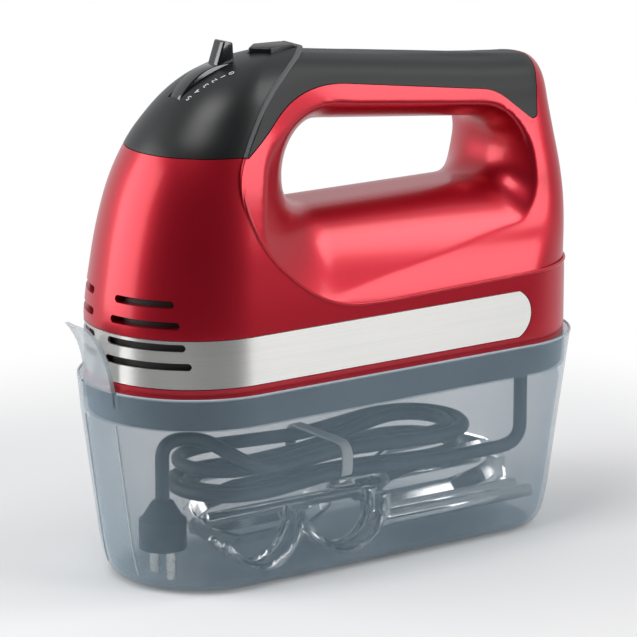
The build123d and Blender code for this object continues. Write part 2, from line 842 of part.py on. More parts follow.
rear_bearing_x = 62.0
rear_bearing_half = 14.0
rear_bearing_top = 106.0
with BuildPart() as rear_bearing:
    with BuildSketch(Plane.YZ.offset(rear_bearing_x)):
        with Locations((0, (inner_floor + rear_bearing_top) / 2)):
            Rectangle(2 * rear_bearing_half, rear_bearing_top - inner_floor)
        with Locations((0, axis_z)):
            Circle(shaft_radius + run_gap, mode=Mode.SUBTRACT)
    extrude(amount=brush_plate)
finish(rear_bearing.part, "rear_bearing")

# Cord outlet in the floor, and the screws that hold the two housings together
relief_flange = 8.0
relief_top = 2.4
with BuildPart() as strain_relief:
    with BuildSketch(Plane.XY.offset(relief_end)):
        with Locations((cord_x, -lobe_y)):
            Circle(relief_radius)
    extrude(amount=inner_floor - relief_end)
    with BuildSketch(Plane.XY.offset(inner_floor)):
        with Locations((cord_x, -lobe_y)):
            Circle(relief_flange)
    extrude(amount=relief_top)
finish(strain_relief.part, "strain_relief")

screw_sunk = 0.3
for number, place in enumerate(screw_places, 1):
    with BuildPart() as screw:
        with BuildSketch(Plane.XY.offset(base_z + screw_sunk)):
            with Locations(place):
                Circle(screw_radius)
        extrude(amount=floor - screw_sunk)
    finish(screw.part, f"housing_screw_{number}")

# Storage case: a tub, a collar round the mixer, a rim bead and the pull tab at the nose
tub_levels = (
    (0.0, 30.5, -57.5, 93.0),
    (1.4, 33.4, -57.5, 96.0),
    (5.0, 36.2, -57.8, 98.6),
    (12.0, 38.3, -58.1, 100.6),
    (ledge_z - 1.0, 43.1, nose_centre, 107.6),
)
tub_inside = (1, 2, 3, 4)
collar_low = ledge_z - 2.0
collar_half = body_half + case_gap
bead = 0.8
bead_low = case_height - 1.8
corner_less = 8.6


def tub(rows, inset):
    return [stadium(z, half - inset, centre, rear - inset, half - inset - corner_less) for z, half, centre, rear in rows]


def collar(low, high, grow):
    half = collar_half + grow
    with BuildPart() as ring:
        add(stadium(low, half, nose_centre, rear_x + case_gap + grow, pod_corner + case_gap + grow))
        extrude(amount=high - low)
    return ring.part


tab_low = 74.0
tab_base = collar_half + case_wall
tab_profile = ((tab_base, tab_low), (tab_base + 0.4, case_height), (tab_base + 3.2, 96.0), (tab_base + 10.0, tab_top))
tab_wide_low = 10.5
tab_wide_high = 7.0
slit = 1.2
slit_low = 75.0
with BuildPart() as pull_tab:
    with BuildSketch(Plane.XZ):
        with BuildLine():
            outer = Spline(*[(nose_centre - r, z) for r, z in tab_profile])
            inner = Spline(*[(nose_centre - r + case_wall, z) for r, z in tab_profile])
            Line(outer @ 0, inner @ 0)
            Line(outer @ 1, inner @ 1)
        make_face()
    revolve(axis=Axis((nose_centre, 0, 0), (0, 0, 1)), revolution_arc=2 * tab_half)
pull_tab_turned = pull_tab.part.rotate(Axis((nose_centre, 0, 0), (0, 0, 1)), -tab_half)
with BuildPart() as tab_face:
    with BuildSketch(Plane.YZ.offset(-far)):
        with BuildLine():
            Polyline(
                (-tab_wide_low, tab_low),
                (tab_wide_low, tab_low),
                (tab_wide_high, tab_top),
                (-tab_wide_high, tab_top),
                close=True,
            )
        make_face()
        fillet(tab_face.vertices().sort_by(Axis.Z)[-2:], 5.0)
    extrude(amount=far)

with BuildPart() as storage_case:
    loft(sections=tub(tub_levels, 0), ruled=True)
    add(collar(collar_low, case_height, case_wall))
    add(collar(bead_low, case_height, case_wall + bead))
    inside = [(case_floor,) + tub_levels[1][1:]] + list(tub_levels[2:4]) + [(ledge_z,) + tub_levels[4][1:]]
    loft(sections=tub(inside, case_wall), ruled=True, mode=Mode.SUBTRACT)
    add(collar(ledge_z, case_height, 0), mode=Mode.SUBTRACT)
    with BuildSketch(Plane.XY.offset(slit_low)):
        for side in (-1, 1):
            with Locations((nose_centre - tab_base, side * (tab_wide_low + slit / 2))):
                Rectangle(tab_base, slit)
    extrude(amount=tab_top - slit_low, mode=Mode.SUBTRACT)
    add(pull_tab_turned.intersect(tab_face.part))
finish(storage_case.part, "storage_case")

# Beaters: two crossed strip loops on a shaft, lying head to tail in the case
tool_z = 16.5
cage_tip = 96.0
collar_radius = 4.6
cage_outline = ((0.0, 3.0), (2.0, 10.5), (15.0, beater_radius), (50.0, beater_radius), (62.0, 10.0), (65.0, 2.0))
cage_rounds = (3.0, 9.0, 9.0, 5.0)


def beater(start, axis_y, way, shaft_end):
    """A beater whose cage begins at start and grows the given way along X."""
    with BuildPart() as tool:
        for lean in (45.0, 135.0):
            angle = math.radians(lean)
            plane = Plane(
                origin=(start, axis_y, tool_z),
                x_dir=(way, 0, 0),
                z_dir=(0, math.cos(angle), math.sin(angle)),
            )
            with BuildSketch(plane.offset(-strip_width / 2)):
                with BuildLine():
                    upper = FilletPolyline(*cage_outline, radius=list(cage_rounds))
                    lower = mirror(upper, about=Plane.XZ)
                    Line(upper @ 0, lower @ 0)
                    Line(upper @ 1, lower @ 1)
                outline = make_face()
                offset(outline, amount=-strip_thick, mode=Mode.SUBTRACT)
            extrude(amount=strip_width)
        with BuildSketch(Plane.YZ.offset(start)):
            with Locations((axis_y, tool_z)):
                Circle(tool_shaft)
        extrude(amount=shaft_end - start)
        with BuildSketch(Plane.YZ.offset(start - way * 9.0)):
            with Locations((axis_y, tool_z)):
                Circle(collar_radius)
        extrude(amount=way * 9.0)
    return tool.part


finish(beater(cage_tip - beater_cage, 6.0, 1, -50.0), "beater_1")
finish(beater(13.0, 16.5, -1, 93.0), "beater_2")


# Round bars and cords: each bend is a pair of arcs
def biarc(start, leave, end, arrive):
    """Two tangent arcs between two points with given directions."""
    chord = end - start
    total = leave + arrive
    spread = 2 * (1 - leave.dot(arrive))
    along = chord.dot(total)
    if spread < 1e-9:
        reach = chord.dot(chord) / (4 * chord.dot(arrive))
    else:
        reach = (math.sqrt(along * along + spread * chord.dot(chord)) - along) / spread
    joint = (start + end + (leave - arrive) * reach) / 2
    first = TangentArc(start, joint, tangent=leave)
    TangentArc(joint, end, tangent=first % 1)


# Dough hooks: a spiral of round bar on a shaft
hook_z = 13.0
hook_root = 14.0
hook_end = 88.0
bar_sides = 6
link_half = hook_wire + 0.6


def dough_hook(axis_y):
    quarters = round(4 * hook_turns)
    slope = hook_pitch / (2 * math.pi * hook_radius)
    knots = []
    for i in range(quarters + 1):
        angle = math.pi / 2 * (i + 1)
        place = Vector(
            hook_root - hook_pitch * i / 4,
            axis_y + hook_radius * math.cos(angle),
            hook_z + hook_radius * math.sin(angle),
        )
        knots.append((place, Vector(-slope, -math.sin(angle), math.cos(angle)).normalized()))
    with BuildPart() as tool:
        with BuildLine() as spiral:
            for (start, leave), (end, arrive) in zip(knots, knots[1:]):
                biarc(start, leave, end, arrive)
        with BuildSketch(Plane(origin=knots[0][0], z_dir=knots[0][1])):
            RegularPolygon(hook_wire, bar_sides)
        sweep()
        with BuildSketch(Plane.YZ.offset(hook_root)):
            with Locations((axis_y, hook_z)):
                Circle(tool_shaft)
        extrude(amount=hook_end - hook_root)
        with BuildSketch(Plane.YZ.offset(hook_root - link_half)):
            with Locations((axis_y, hook_z + hook_radius / 2)):
                Rectangle(2 * link_half, hook_radius + 2 * link_half)
        extrude(amount=2 * link_half)
    return tool.part


finish(dough_hook(-25.0), "dough_hook_1")
finish(dough_hook(-15.0), "dough_hook_2")

# Cord: a short upright stretch under the relief, then one hank of flat loops, then the plug
tool_top = tool_z + beater_radius / math.sqrt(2) + strip_width / math.sqrt(8)
layer_1 = tool_top + tool_gap + cord_radius
stretch_low = layer_1 + quarter + 2 * cord_radius
cord_sides = 6
with BuildPart() as cord_stretch:
    with BuildSketch(Plane.XY.offset(stretch_low)):
        with Locations((cord_x, -lobe_y)):
            RegularPolygon(cord_radius, cord_sides)
    extrude(amount=relief_end - stretch_low)
finish(cord_stretch.part, "cord_stretch")

# The knots of a loop in order, with the way the cord runs there
loop_places = (
    ((lobe_x, -lobe_y), (-1, 0)),
    ((0, -waist_y), (-1, 0)),
    ((-lobe_x, -lobe_y), (-1, 0)),
    ((-apex_x, 0), (0, 1)),
    ((-lobe_x, lobe_y), (1, 0)),
    ((0, waist_y), (1, 0)),
    ((lobe_x, lobe_y), (1, 0)),
    ((apex_x, 0), (0, -1)),
)
# Runs of the hank: number of knots, knots drawn in (+1) or let out (-1), layers climbed
hank_runs = ((12, 1, 0), (2, 0, 1), (12, -1, 0))


def hank_knots():
    knots = []
    drawn = 0.0
    level = layer_1
    count = 0
    for length, draw, climb in hank_runs:
        for i in range(length):
            (x, y), way = loop_places[count % len(loop_places)]
            less_x = math.copysign(drawn, x) if y == 0 else 0.0
            less_y = math.copysign(drawn, y) if y != 0 else 0.0
            knots.append((Vector(x - less_x, y - less_y, level), Vector(*way, 0)))
            drawn += draw * loop_step / len(loop_places)
            level += climb * layer_step / length
            count += 1
    (x, y), way = loop_places[count % len(loop_places)]
    knots.append((Vector(x, y + drawn, level), Vector(*way, 0)))
    return knots


plug_x, plug_y = plug_at
plug_top = 34.2
knots = hank_knots()
last_place, last_way = knots[-1]
turn_z = last_place.Z + plug_rise
with BuildPart() as cord_hank:
    with BuildLine() as cord_path:
        down = Line((cord_x, -lobe_y, stretch_low), (cord_x, -lobe_y, stretch_low - 2 * cord_radius))
        bend = TangentArc(down @ 1, (cord_x - quarter, -lobe_y, layer_1), tangent=(0, 0, -1))
        Line(bend @ 1, knots[0][0])
        for (start, leave), (end, arrive) in zip(knots, knots[1:]):
            biarc(start, leave, end, arrive)
        biarc(last_place, last_way, Vector(plug_x + quarter, plug_y, turn_z), Vector(-1, 0, 0))
        turn = TangentArc((plug_x + quarter, plug_y, turn_z), (plug_x, plug_y, turn_z - quarter), tangent=(-1, 0, 0))
        Line(turn @ 1, (plug_x, plug_y, plug_top))
    with BuildSketch(Plane(origin=(cord_x, -lobe_y, stretch_low), x_dir=(1, 0, 0), z_dir=(0, 0, -1))):
        RegularPolygon(cord_radius, cord_sides)
    sweep()
finish(cord_hank.part, "cord_hank")

# Plug: a tapered neck, a body and two round pins
plug_radius = 9.5
plug_low = 15.5
neck_low = 27.0
neck_taper = 30.0
pin_apart = 6.0
pin_radius = 2.0
pin_low = 4.0
with BuildPart() as plug:
    with BuildSketch(Plane.XY.offset(plug_low)):
        with Locations((plug_x, plug_y)):
            RegularPolygon(plug_radius, 16)
    extrude(amount=neck_low - plug_low)
    with BuildSketch(Plane.XY.offset(neck_low)):
        with Locations((plug_x, plug_y)):
            RegularPolygon(plug_radius - 1.0, 16)
    extrude(amount=plug_top - neck_low, taper=neck_taper)
finish(plug.part, "plug")
for side, name in ((-1, "left"), (1, "right")):
    with BuildPart() as pin:
        with BuildSketch(Plane.XY.offset(pin_low)):
            with Locations((plug_x, plug_y + side * pin_apart)):
                RegularPolygon(pin_radius, 10)
        extrude(amount=plug_low - pin_low)
    finish(pin.part, f"{name}_plug_pin")

# The cord's length, its tightest bend, and the least gap between its turns
edges = cord_path.line.edges()
length = sum(edge.length for edge in edges)
radii = [edge.radius for edge in edges if edge.geom_type == GeomType.CIRCLE]
points = []
run = 0.0
for edge in edges:
    count = max(2, int(edge.length / 2.0))
    for i in range(count):
        points.append((run + edge.length * i / count, edge @ (i / count)))
    run += edge.length
least = min(
    (p - q).length
    for i, (s, p) in enumerate(points)
    for t, q in points[i + 1:]
    if t - s > 6 * cord_radius
)
print(f"cord length {length:.0f} mm, tightest bend {min(radii):.1f} mm, least gap {least - 2 * cord_radius:.2f} mm")
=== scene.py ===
import json
import math

import bmesh
import bpy
from mathutils import Matrix, Vector


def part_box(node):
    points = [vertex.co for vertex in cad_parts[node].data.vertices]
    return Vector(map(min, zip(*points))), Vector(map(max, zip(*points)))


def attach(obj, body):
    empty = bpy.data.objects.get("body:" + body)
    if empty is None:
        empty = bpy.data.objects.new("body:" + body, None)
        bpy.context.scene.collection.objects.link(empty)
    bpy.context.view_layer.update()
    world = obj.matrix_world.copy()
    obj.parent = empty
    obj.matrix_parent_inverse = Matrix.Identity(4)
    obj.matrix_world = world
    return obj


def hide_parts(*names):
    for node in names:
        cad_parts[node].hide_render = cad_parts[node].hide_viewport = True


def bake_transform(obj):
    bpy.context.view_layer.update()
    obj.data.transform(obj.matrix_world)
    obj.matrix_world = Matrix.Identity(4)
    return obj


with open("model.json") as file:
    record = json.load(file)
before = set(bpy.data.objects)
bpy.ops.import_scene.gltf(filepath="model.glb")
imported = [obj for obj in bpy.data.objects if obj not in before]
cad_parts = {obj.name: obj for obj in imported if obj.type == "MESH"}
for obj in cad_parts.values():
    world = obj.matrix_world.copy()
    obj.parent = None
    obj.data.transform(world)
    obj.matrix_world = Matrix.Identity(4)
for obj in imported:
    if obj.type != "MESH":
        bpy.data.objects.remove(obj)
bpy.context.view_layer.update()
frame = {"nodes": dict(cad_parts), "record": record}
nodes = frame["nodes"]


# a value on a node socket, so that shader sums read as plain maths
class Value:
    def __init__(self, finish, socket):
        self.finish = finish
        self.socket = socket

    def maths(self, operation, other):
        return self.finish.node("Math", {"operation": operation}, {0: self, 1: other})

    def __add__(self, other):
        return self.maths("ADD", other)

    __radd__ = __add__

    def __mul__(self, other):
        return self.maths("MULTIPLY", other)

    def orMore(self, other):
        return self.maths("MAXIMUM", other)


# the nodes of one material, or of the world
class Finish:
    def __init__(self, name, kind="Material"):
        owners = bpy.data.worlds if kind == "World" else bpy.data.materials
        self.owner = owners.new(name)
        self.owner.use_nodes = True
        self.tree = self.owner.node_tree
        self.tree.nodes.clear()
        self.output = self.tree.nodes.new("ShaderNodeOutput" + kind)

    def node(self, kind, settings=None, sockets=None, out=0):
        made = self.tree.nodes.new("ShaderNode" + kind)
        for key, setting in (settings or {}).items():
            setattr(made, key, setting)
        for key, given in (sockets or {}).items():
            if isinstance(given, Value):
                self.tree.links.new(given.socket, made.inputs[key])
            else:
                made.inputs[key].default_value = given
        return Value(self, made.outputs[out])

    def noise(self, scale, detail=3.0, stretch=(1, 1, 1), rough=0.5):
        place = self.node("TexCoord", out="Object")
        place = self.node("Mapping", sockets={"Vector": place, "Scale": stretch})
        spots = {"Vector": place, "Scale": scale, "Detail": detail, "Roughness": rough}
        return self.node("TexNoise", sockets=spots, out="Fac")

    def mixed(self, share, first, second):
        sockets = {0: share, 6: (*first, 1.0), 7: (*second, 1.0)}
        return self.node("Mix", {"data_type": "RGBA"}, sockets, out=2)

    def fade(self, value, low, high, ends=(0.0, 1.0)):
        sockets = {"Value": value, "From Min": low, "From Max": high, "To Min": ends[0], "To Max": ends[1]}
        return self.node("MapRange", {"interpolation_type": "SMOOTHSTEP"}, sockets)

    def along(self, place, direction):
        return self.node("VectorMath", {"operation": "DOT_PRODUCT"}, {0: place, 1: direction}, out="Value")

    def bump(self, height, strength, distance):
        sockets = {"Height": height, "Strength": strength, "Distance": distance}
        return self.node("Bump", sockets=sockets, out="Normal")

    def rays(self, *kinds):
        return [self.node("LightPath", out=f"Is {kind} Ray") for kind in kinds]

    def blend(self, share, first, second):
        return self.node("MixShader", sockets={0: share, 1: first, 2: second})

    def close(self, shader):
        self.tree.links.new(shader.socket, self.output.inputs["Surface"])
        return self.owner

    def surface(self, sockets):
        return self.close(self.node("BsdfPrincipled", sockets=sockets))


# metallic red under clear lacquer
redLook = {"deep": (0.4, 0.003, 0.014), "bright": (0.56, 0.006, 0.026), "flake": 5200.0}


def redLacquer():
    f = Finish("redLacquer")
    flake = f.noise(redLook["flake"], 1.0)
    cloud = f.noise(9.0, 2.0)
    return f.surface({
        "Base Color": f.mixed(flake * 0.7 + cloud * 0.3, redLook["deep"], redLook["bright"]),
        "Metallic": 0.62,
        "Roughness": 0.33 + flake * 0.06,
        "Coat Weight": 0.4,
        "Coat Roughness": 0.16,
        "Normal": f.bump(flake, 0.05, 0.00003),
    })


# satin black moulding with a fine spark grain
blackLook = {"low": (0.004, 0.0044, 0.005), "high": (0.01, 0.0106, 0.0116), "grain": 2600.0}


def satinBlack(name, rough, grain, strength):
    f = Finish(name)
    grit = f.noise(grain, 2.0)
    wear = f.noise(24.0, 3.0)
    return f.surface({
        "Base Color": f.mixed(grit, blackLook["low"], blackLook["high"]),
        "Roughness": rough + grit * 0.08 + wear * 0.05,
        "Specular IOR Level": 0.42,
        "Normal": f.bump(grit, strength, 0.00005),
    })


def polishedBlack():
    f = Finish("polishedBlack")
    haze = f.noise(140.0, 3.0)
    return f.surface({
        "Base Color": f.mixed(haze, (0.006, 0.006, 0.007), (0.013, 0.0135, 0.015)),
        "Roughness": 0.09 + haze * 0.06,
        "Coat Weight": 0.6,
        "Coat Roughness": 0.04,
    })


# steel brushed along the band
def brushedSteel():
    f = Finish("brushedSteel")
    streak = f.noise(1.0, 4.0, (14.0, 14.0, 5200.0), 0.7)
    cloud = f.noise(16.0, 2.0)
    return f.surface({
        "Base Color": f.mixed(streak, (0.47, 0.465, 0.45), (0.66, 0.655, 0.64)),
        "Metallic": 1.0,
        "Roughness": 0.3 + streak * 0.12 + cloud * 0.05,
        "Anisotropic": 0.85,
        "Anisotropic Rotation": 0.25,
        "Normal": f.bump(streak, 0.06, 0.00004),
    })


def platedChrome():
    f = Finish("platedChrome")
    haze = f.noise(90.0, 3.0)
    return f.surface({
        "Base Color": f.mixed(haze, (0.68, 0.685, 0.69), (0.8, 0.805, 0.81)),
        "Metallic": 1.0,
        "Roughness": 0.15 + haze * 0.08,
    })


# see-through case: a little cloudy, more solid where it is seen edge on and in its collar
caseLook = {
    "tint": (0.23, 0.33, 0.41), "pale": (0.31, 0.42, 0.5), "least": 0.15, "edge": 0.36,
    "collar": 0.07, "collarFrom": 0.067, "collarTo": 0.071,
}


def clearCase():
    f = Finish("clearCase")
    cloud = f.noise(26.0, 4.0)
    facing = f.node("LayerWeight", sockets={"Blend": 0.3}, out="Facing")
    height = f.node("SeparateXYZ", sockets={0: f.node("TexCoord", out="Object")}, out="Z")
    collar = f.fade(height, caseLook["collarFrom"], caseLook["collarTo"])
    return f.surface({
        "Base Color": f.mixed(cloud, caseLook["tint"], caseLook["pale"]),
        "Roughness": 0.13 + cloud * 0.1,
        "Alpha": caseLook["least"] + cloud * 0.06 + facing * caseLook["edge"] + collar * caseLook["collar"],
        "Specular IOR Level": 0.4,
        "Normal": f.bump(cloud, 0.05, 0.0004),
    })


# frosted white of the pull tab, and the same pale colour painted on the case's rim and mould lines as their highlight
def frosted(name, alpha):
    f = Finish(name)
    cloud = f.noise(60.0, 3.0)
    return f.surface({
        "Base Color": f.mixed(cloud, (0.5, 0.57, 0.62), (0.62, 0.68, 0.73)),
        "Roughness": 0.3 + cloud * 0.15,
        "Alpha": alpha + cloud * 0.1,
    })


def cordRubber():
    f = Finish("cordRubber")
    grit = f.noise(1500.0, 2.0)
    dust = f.noise(60.0, 4.0)
    return f.surface({
        "Base Color": f.mixed(dust, (0.012, 0.016, 0.022), (0.022, 0.028, 0.036)),
        "Roughness": 0.46 + grit * 0.06,
        "Normal": f.bump(grit, 0.03, 0.00003),
    })


def mouldedPlastic(name, low, high):
    f = Finish(name)
    grit = f.noise(1800.0, 2.0)
    return f.surface({
        "Base Color": f.mixed(grit, low, high),
        "Roughness": 0.45 + grit * 0.1,
        "Normal": f.bump(grit, 0.1, 0.00004),
    })


def workedMetal(name, low, high, rough, stretch=(1, 1, 1)):
    f = Finish(name)
    streak = f.noise(400.0, 3.0, stretch)
    return f.surface({
        "Base Color": f.mixed(streak, low, high),
        "Metallic": 1.0,
        "Roughness": rough + streak * 0.12,
    })


finishes = {
    "red_body": redLacquer(),
    "black_cover": satinBlack("satinBlack", 0.3, blackLook["grain"], 0.12),
    "soft_grip": satinBlack("softGrip", 0.44, 1900.0, 0.2),
    "steel_band": brushedSteel(),
    "control_black": polishedBlack(),
    "chrome_tools": platedChrome(),
    "case_clear": clearCase(),
    "cord_dark": cordRubber(),
    "plug_dark": satinBlack("plugRubber", 0.5, 1500.0, 0.2),
    "inner_plastic": mouldedPlastic("innerPlastic", (0.6, 0.59, 0.55), (0.72, 0.71, 0.67)),
    "dark_plastic": mouldedPlastic("darkPlasticAndShade", (0.02, 0.02, 0.022), (0.04, 0.04, 0.042)),
    "gear_plastic": mouldedPlastic("gearPlastic", (0.7, 0.67, 0.58), (0.8, 0.78, 0.7)),
    "carbon": mouldedPlastic("carbon", (0.012, 0.012, 0.012), (0.03, 0.03, 0.03)),
    "steel": workedMetal("turnedSteel", (0.5, 0.5, 0.5), (0.65, 0.65, 0.64), 0.25, (1, 1, 20)),
    "iron": workedMetal("stampedIron", (0.16, 0.16, 0.17), (0.3, 0.3, 0.31), 0.4, (30, 1, 1)),
    "copper": workedMetal("woundCopper", (0.45, 0.19, 0.08), (0.66, 0.32, 0.15), 0.3, (1, 20, 20)),
    "pin_metal": workedMetal("platedPins", (0.66, 0.64, 0.58), (0.78, 0.77, 0.72), 0.2),
}
slotOf = {part["node"]: part["material_slot"] for part in frame["record"]["subparts"]}
bodyOf = {node: body for body, names in frame["record"]["behaviour"]["bodies"].items() for node in names}
for name, node in nodes.items():
    node.data.materials.clear()
    node.data.materials.append(finishes[slotOf[name]])
print("finishes ready:", len(finishes))

# camera at the photograph's place, looking at the middle of the object
cameraSet = {"place": (-0.889, -1.270, 0.4885), "target": (0, 0, 0.0933), "lens": 226.06}
bpy.ops.object.select_all(action="DESELECT")
bpy.ops.object.camera_add(location=cameraSet["place"])
camera = bpy.context.object
camera.rotation_euler = (Vector(cameraSet["target"]) - camera.location).to_track_quat("-Z", "Y").to_euler()
camera.data.lens = cameraSet["lens"]
camera.data.sensor_width = 36.0
camera.data.clip_end = 50.0
scene = bpy.context.scene
scene.camera = camera
scene.view_settings.view_transform = "Standard"
print("camera set")

# wound cord: control points of one spline, loop by loop
mm = 0.001
cordSet = {
    "radius": 2.8, "exit": (84.0, -24.0, 56.165), "layer": 33.565, "rise": 9.0, "draw": 6.4,
    "drop": 5.6, "join": 62, "pointsIn": 24, "pointsUp": 4, "length": 1.11, "order": 3, "steps": 6, "sides": 4,
    "tail": ((-55, -18, 50.5), (-64, -11.0, 57), (-82.0, -11.0, 58.5), (-82.0, -11.0, 44), (-82.0, -11.0, 34.2)),
}
# one loop in order from its near rear bend: x, y, and how much the loop's draw moves it in x and y
loopShape = (
    (43, -25.2, 0, 1), (21, -20.4, 0, 1), (0, -16.6, 0, 1), (-21, -20.4, 0, 1),
    (-43, -25.2, 0, 1), (-63, -19.5, 0.8, 0.8), (-71, 0, 1, 0), (-63, 19.5, 0.8, 0.8),
    (-43, 25.2, 0, 1), (-21, 20.4, 0, 1), (0, 16.6, 0, 1), (21, 20.4, 0, 1),
    (43, 25.2, 0, 1), (63, 19.5, 0.8, 0.8), (71, 0, 1, 0), (63, -19.5, 0.8, 0.8),
)


def cordRoute():
    x, y, z = cordSet["exit"]
    layer = cordSet["layer"]
    points = [(x, y, z), (x, y, z - cordSet["drop"]), (x, y, layer), (cordSet["join"], y, layer)]
    count = len(loopShape)
    pointsIn, pointsUp = cordSet["pointsIn"], cordSet["pointsUp"]
    for i in range(pointsIn * 2 + pointsUp + 1):
        px, py, inX, inY = loopShape[i % count]
        inward = min(i, pointsIn, 2 * pointsIn + pointsUp - i)
        drawn = cordSet["draw"] * inward / count
        up = min(max((i - pointsIn) / pointsUp, 0), 1) * cordSet["rise"]
        points.append((
            px - math.copysign(drawn * inX, px),
            py - math.copysign(drawn * inY, py),
            layer + up,
        ))
    return points + list(cordSet["tail"])


def makeCord(name, points):
    curve = bpy.data.curves.new(name, "CURVE")
    curve.dimensions = "3D"
    spline = curve.splines.new("NURBS")
    spline.points.add(len(points) - 1)
    for point, (x, y, z) in zip(spline.points, points):
        point.co = (x * mm, y * mm, z * mm, 1)
    spline.order_u = cordSet["order"]
    spline.use_endpoint_u = True
    spline.resolution_u = cordSet["steps"]
    curve.bevel_depth = cordSet["radius"] * mm
    curve.bevel_resolution = cordSet["sides"]
    curve.use_fill_caps = True
    cord = bpy.data.objects.new(name, curve)
    scene.collection.objects.link(cord)
    return cord


woundCord = makeCord("woundCord", cordRoute())
woundCord.data.materials.append(finishes["cord_dark"])
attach(woundCord, "case")
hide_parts("cord_hank")
print("cord laid")


def selectOnly(piece):
    bpy.ops.object.select_all(action="DESELECT")
    piece.select_set(True)
    bpy.context.view_layer.objects.active = piece


def applyAll(piece):
    selectOnly(piece)
    for modifier in list(piece.modifiers):
        bpy.ops.object.modifier_apply(modifier=modifier.name)


# the short rise of the cord, which stretches between the case and the mixer
riseSet = {"sides": 24, "cuts": 6, "smooth": 40}


def makeRise():
    low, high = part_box("cord_stretch")
    bpy.ops.object.select_all(action="DESELECT")
    middle = ((low[0] + high[0]) / 2, (low[1] + high[1]) / 2, (low[2] + high[2]) / 2)
    bpy.ops.mesh.primitive_cylinder_add(
        vertices=riseSet["sides"], radius=cordSet["radius"] * mm, depth=high[2] - low[2], location=middle,
    )
    rise = bpy.context.object
    rise.name = "cordRise"
    bpy.ops.object.transform_apply(location=True)
    bpy.ops.object.mode_set(mode="EDIT")
    bpy.ops.mesh.select_all(action="SELECT")
    bpy.ops.mesh.subdivide(number_cuts=riseSet["cuts"])
    bpy.ops.object.mode_set(mode="OBJECT")
    bpy.ops.object.shade_smooth_by_angle(angle=math.radians(riseSet["smooth"]))
    rise.data.materials.append(finishes["cord_dark"])
    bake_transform(rise)
    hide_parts("cord_stretch")
    return rise


cordRise = makeRise()

# the body's outer form in millimetres
bodySet = {
    "half": 43.5, "rear": 108.0, "corner": 34.0, "top": 205.5, "step": 0.8, "line": 0.15, "cover": 171.5, "seam": 94.0,
    "rim": 80.6, "lap": 1.0,
}
# far enough out to cut right through the body
beyond = {"x": 150, "y": 60, "z": 250}
# nose: height, how much the side narrows, centre of the round front
podLevels = (
    (68.1, 1.2, -59.0), (84.0, 0.0, -59.0), (106.0, 0.0, -59.0), (127.0, 1.5, -57.5), (143.0, 3.3, -56.0),
    (159.0, 6.3, -54.0), (173.0, 10.5, -51.0), (182.0, 14.5, -48.0), (190.0, 19.0, -44.5), (196.0, 23.9, -41.0),
    (200.0, 28.3, -36.5), (203.0, 32.9, -31.0), (205.5, 38.5, -22.0),
)
# handle zone: height, tilt, how much the side narrows at the rear and at the front, how far the rear moves in, corner
loopLevels = (
    (100.0, 0.0, 0.5, 0.0, 0.0, 34.0), (109.0, 0.0, 0.9, 0.1, 0.0, 34.0), (120.0, 0.0, 4.4, 0.9, 0.1, 28.0),
    (131.0, 1.5, 9.4, 1.8, 0.3, 20.0), (143.0, 3.0, 12.4, 3.3, 0.6, 16.0), (158.0, 5.0, 14.8, 6.1, 1.0, 15.0),
    (174.0, 7.0, 18.4, 10.9, 1.6, 14.0), (186.0, 7.0, 22.2, 17.4, 2.2, 13.5), (192.0, 7.0, 23.6, 21.6, 2.6, 13.5),
    (197.0, 7.0, 26.3, 26.2, 3.2, 13.0), (200.4, 7.0, 30.8, 30.6, 4.4, 11.0), (202.2, 7.0, 37.0, 36.8, 6.6, 5.5),
)
# finger opening: narrowest corner, corner at the lip, distances of both from the middle, both rounds
openingCorners = (
    ((-27.5, 143.5), (-48.5, 116.0), (8.0, 39.0), (15.5, 32.0)),
    ((80.0, 143.5), (86.0, 130.0), (6.0, 34.0), (12.5, 14.0)),
    ((80.0, 168.0), (86.5, 176.0), (4.0, 23.0), (10.0, 22.0)),
    ((-27.5, 179.2), (-42.0, 196.0), (5.0, 28.0), (17.0, 32.0)),
)
rollPower = 2.1
scoopHalf = 46


def between(rows, height):
    last = len(rows) - 1
    low = max(i for i in range(last) if rows[i][0] <= height + 1e-9)
    span = rows[low + 1][0] - rows[low][0]
    t = (height - rows[low][0]) / span
    values = []
    for column in range(1, len(rows[0])):
        slopes = []
        for i in (low, low + 1):
            before, after = rows[max(i - 1, 0)], rows[min(i + 1, last)]
            slopes.append((after[column] - before[column]) / (after[0] - before[0]) * span)
        start = rows[low][column]
        rise = rows[low + 1][column] - start
        bend = slopes[0] + slopes[1] - 2 * rise
        values.append(start + t * (slopes[0] + t * (rise - slopes[0] - bend + t * bend)))
    return values


def arc(x, y, radius, first, last, steps):
    angles = [math.radians(first + (last - first) * i / steps) for i in range(steps + 1)]
    return [(x + radius * math.cos(a), y + radius * math.sin(a)) for a in angles]


# the corners of a line or outline rounded off, with its runs divided
def roundedLine(corners, rounds, closed, steps, runs):
    points = []
    count = len(corners)
    for i, corner in enumerate(corners):
        here = Vector(corner)
        if not closed and i in (0, count - 1):
            arcPoints = [corner]
        else:
            back = (Vector(corners[i - 1]) - here).normalized()
            ahead = (Vector(corners[(i + 1) % count]) - here).normalized()
            radius = rounds[i]
            half = back.angle(ahead) / 2
            centre = here + (back + ahead).normalized() * (radius / math.sin(half))
            leave = here + back * (radius / math.tan(half)) - centre
            first = math.degrees(math.atan2(leave.y, leave.x))
            turn = math.copysign(180 - math.degrees(2 * half), back.cross(ahead) * -1)
            arcPoints = arc(centre.x, centre.y, radius, first, first + turn, steps)
        if points:
            points += runBetween(points[-1], arcPoints[0], runs)
        points += arcPoints
    if closed:
        points += runBetween(points[-1], points[0], runs)
    return points


def runBetween(start, end, count):
    return [
        (start[0] + (end[0] - start[0]) * i / count, start[1] + (end[1] - start[1]) * i / count)
        for i in range(1, count)
    ]


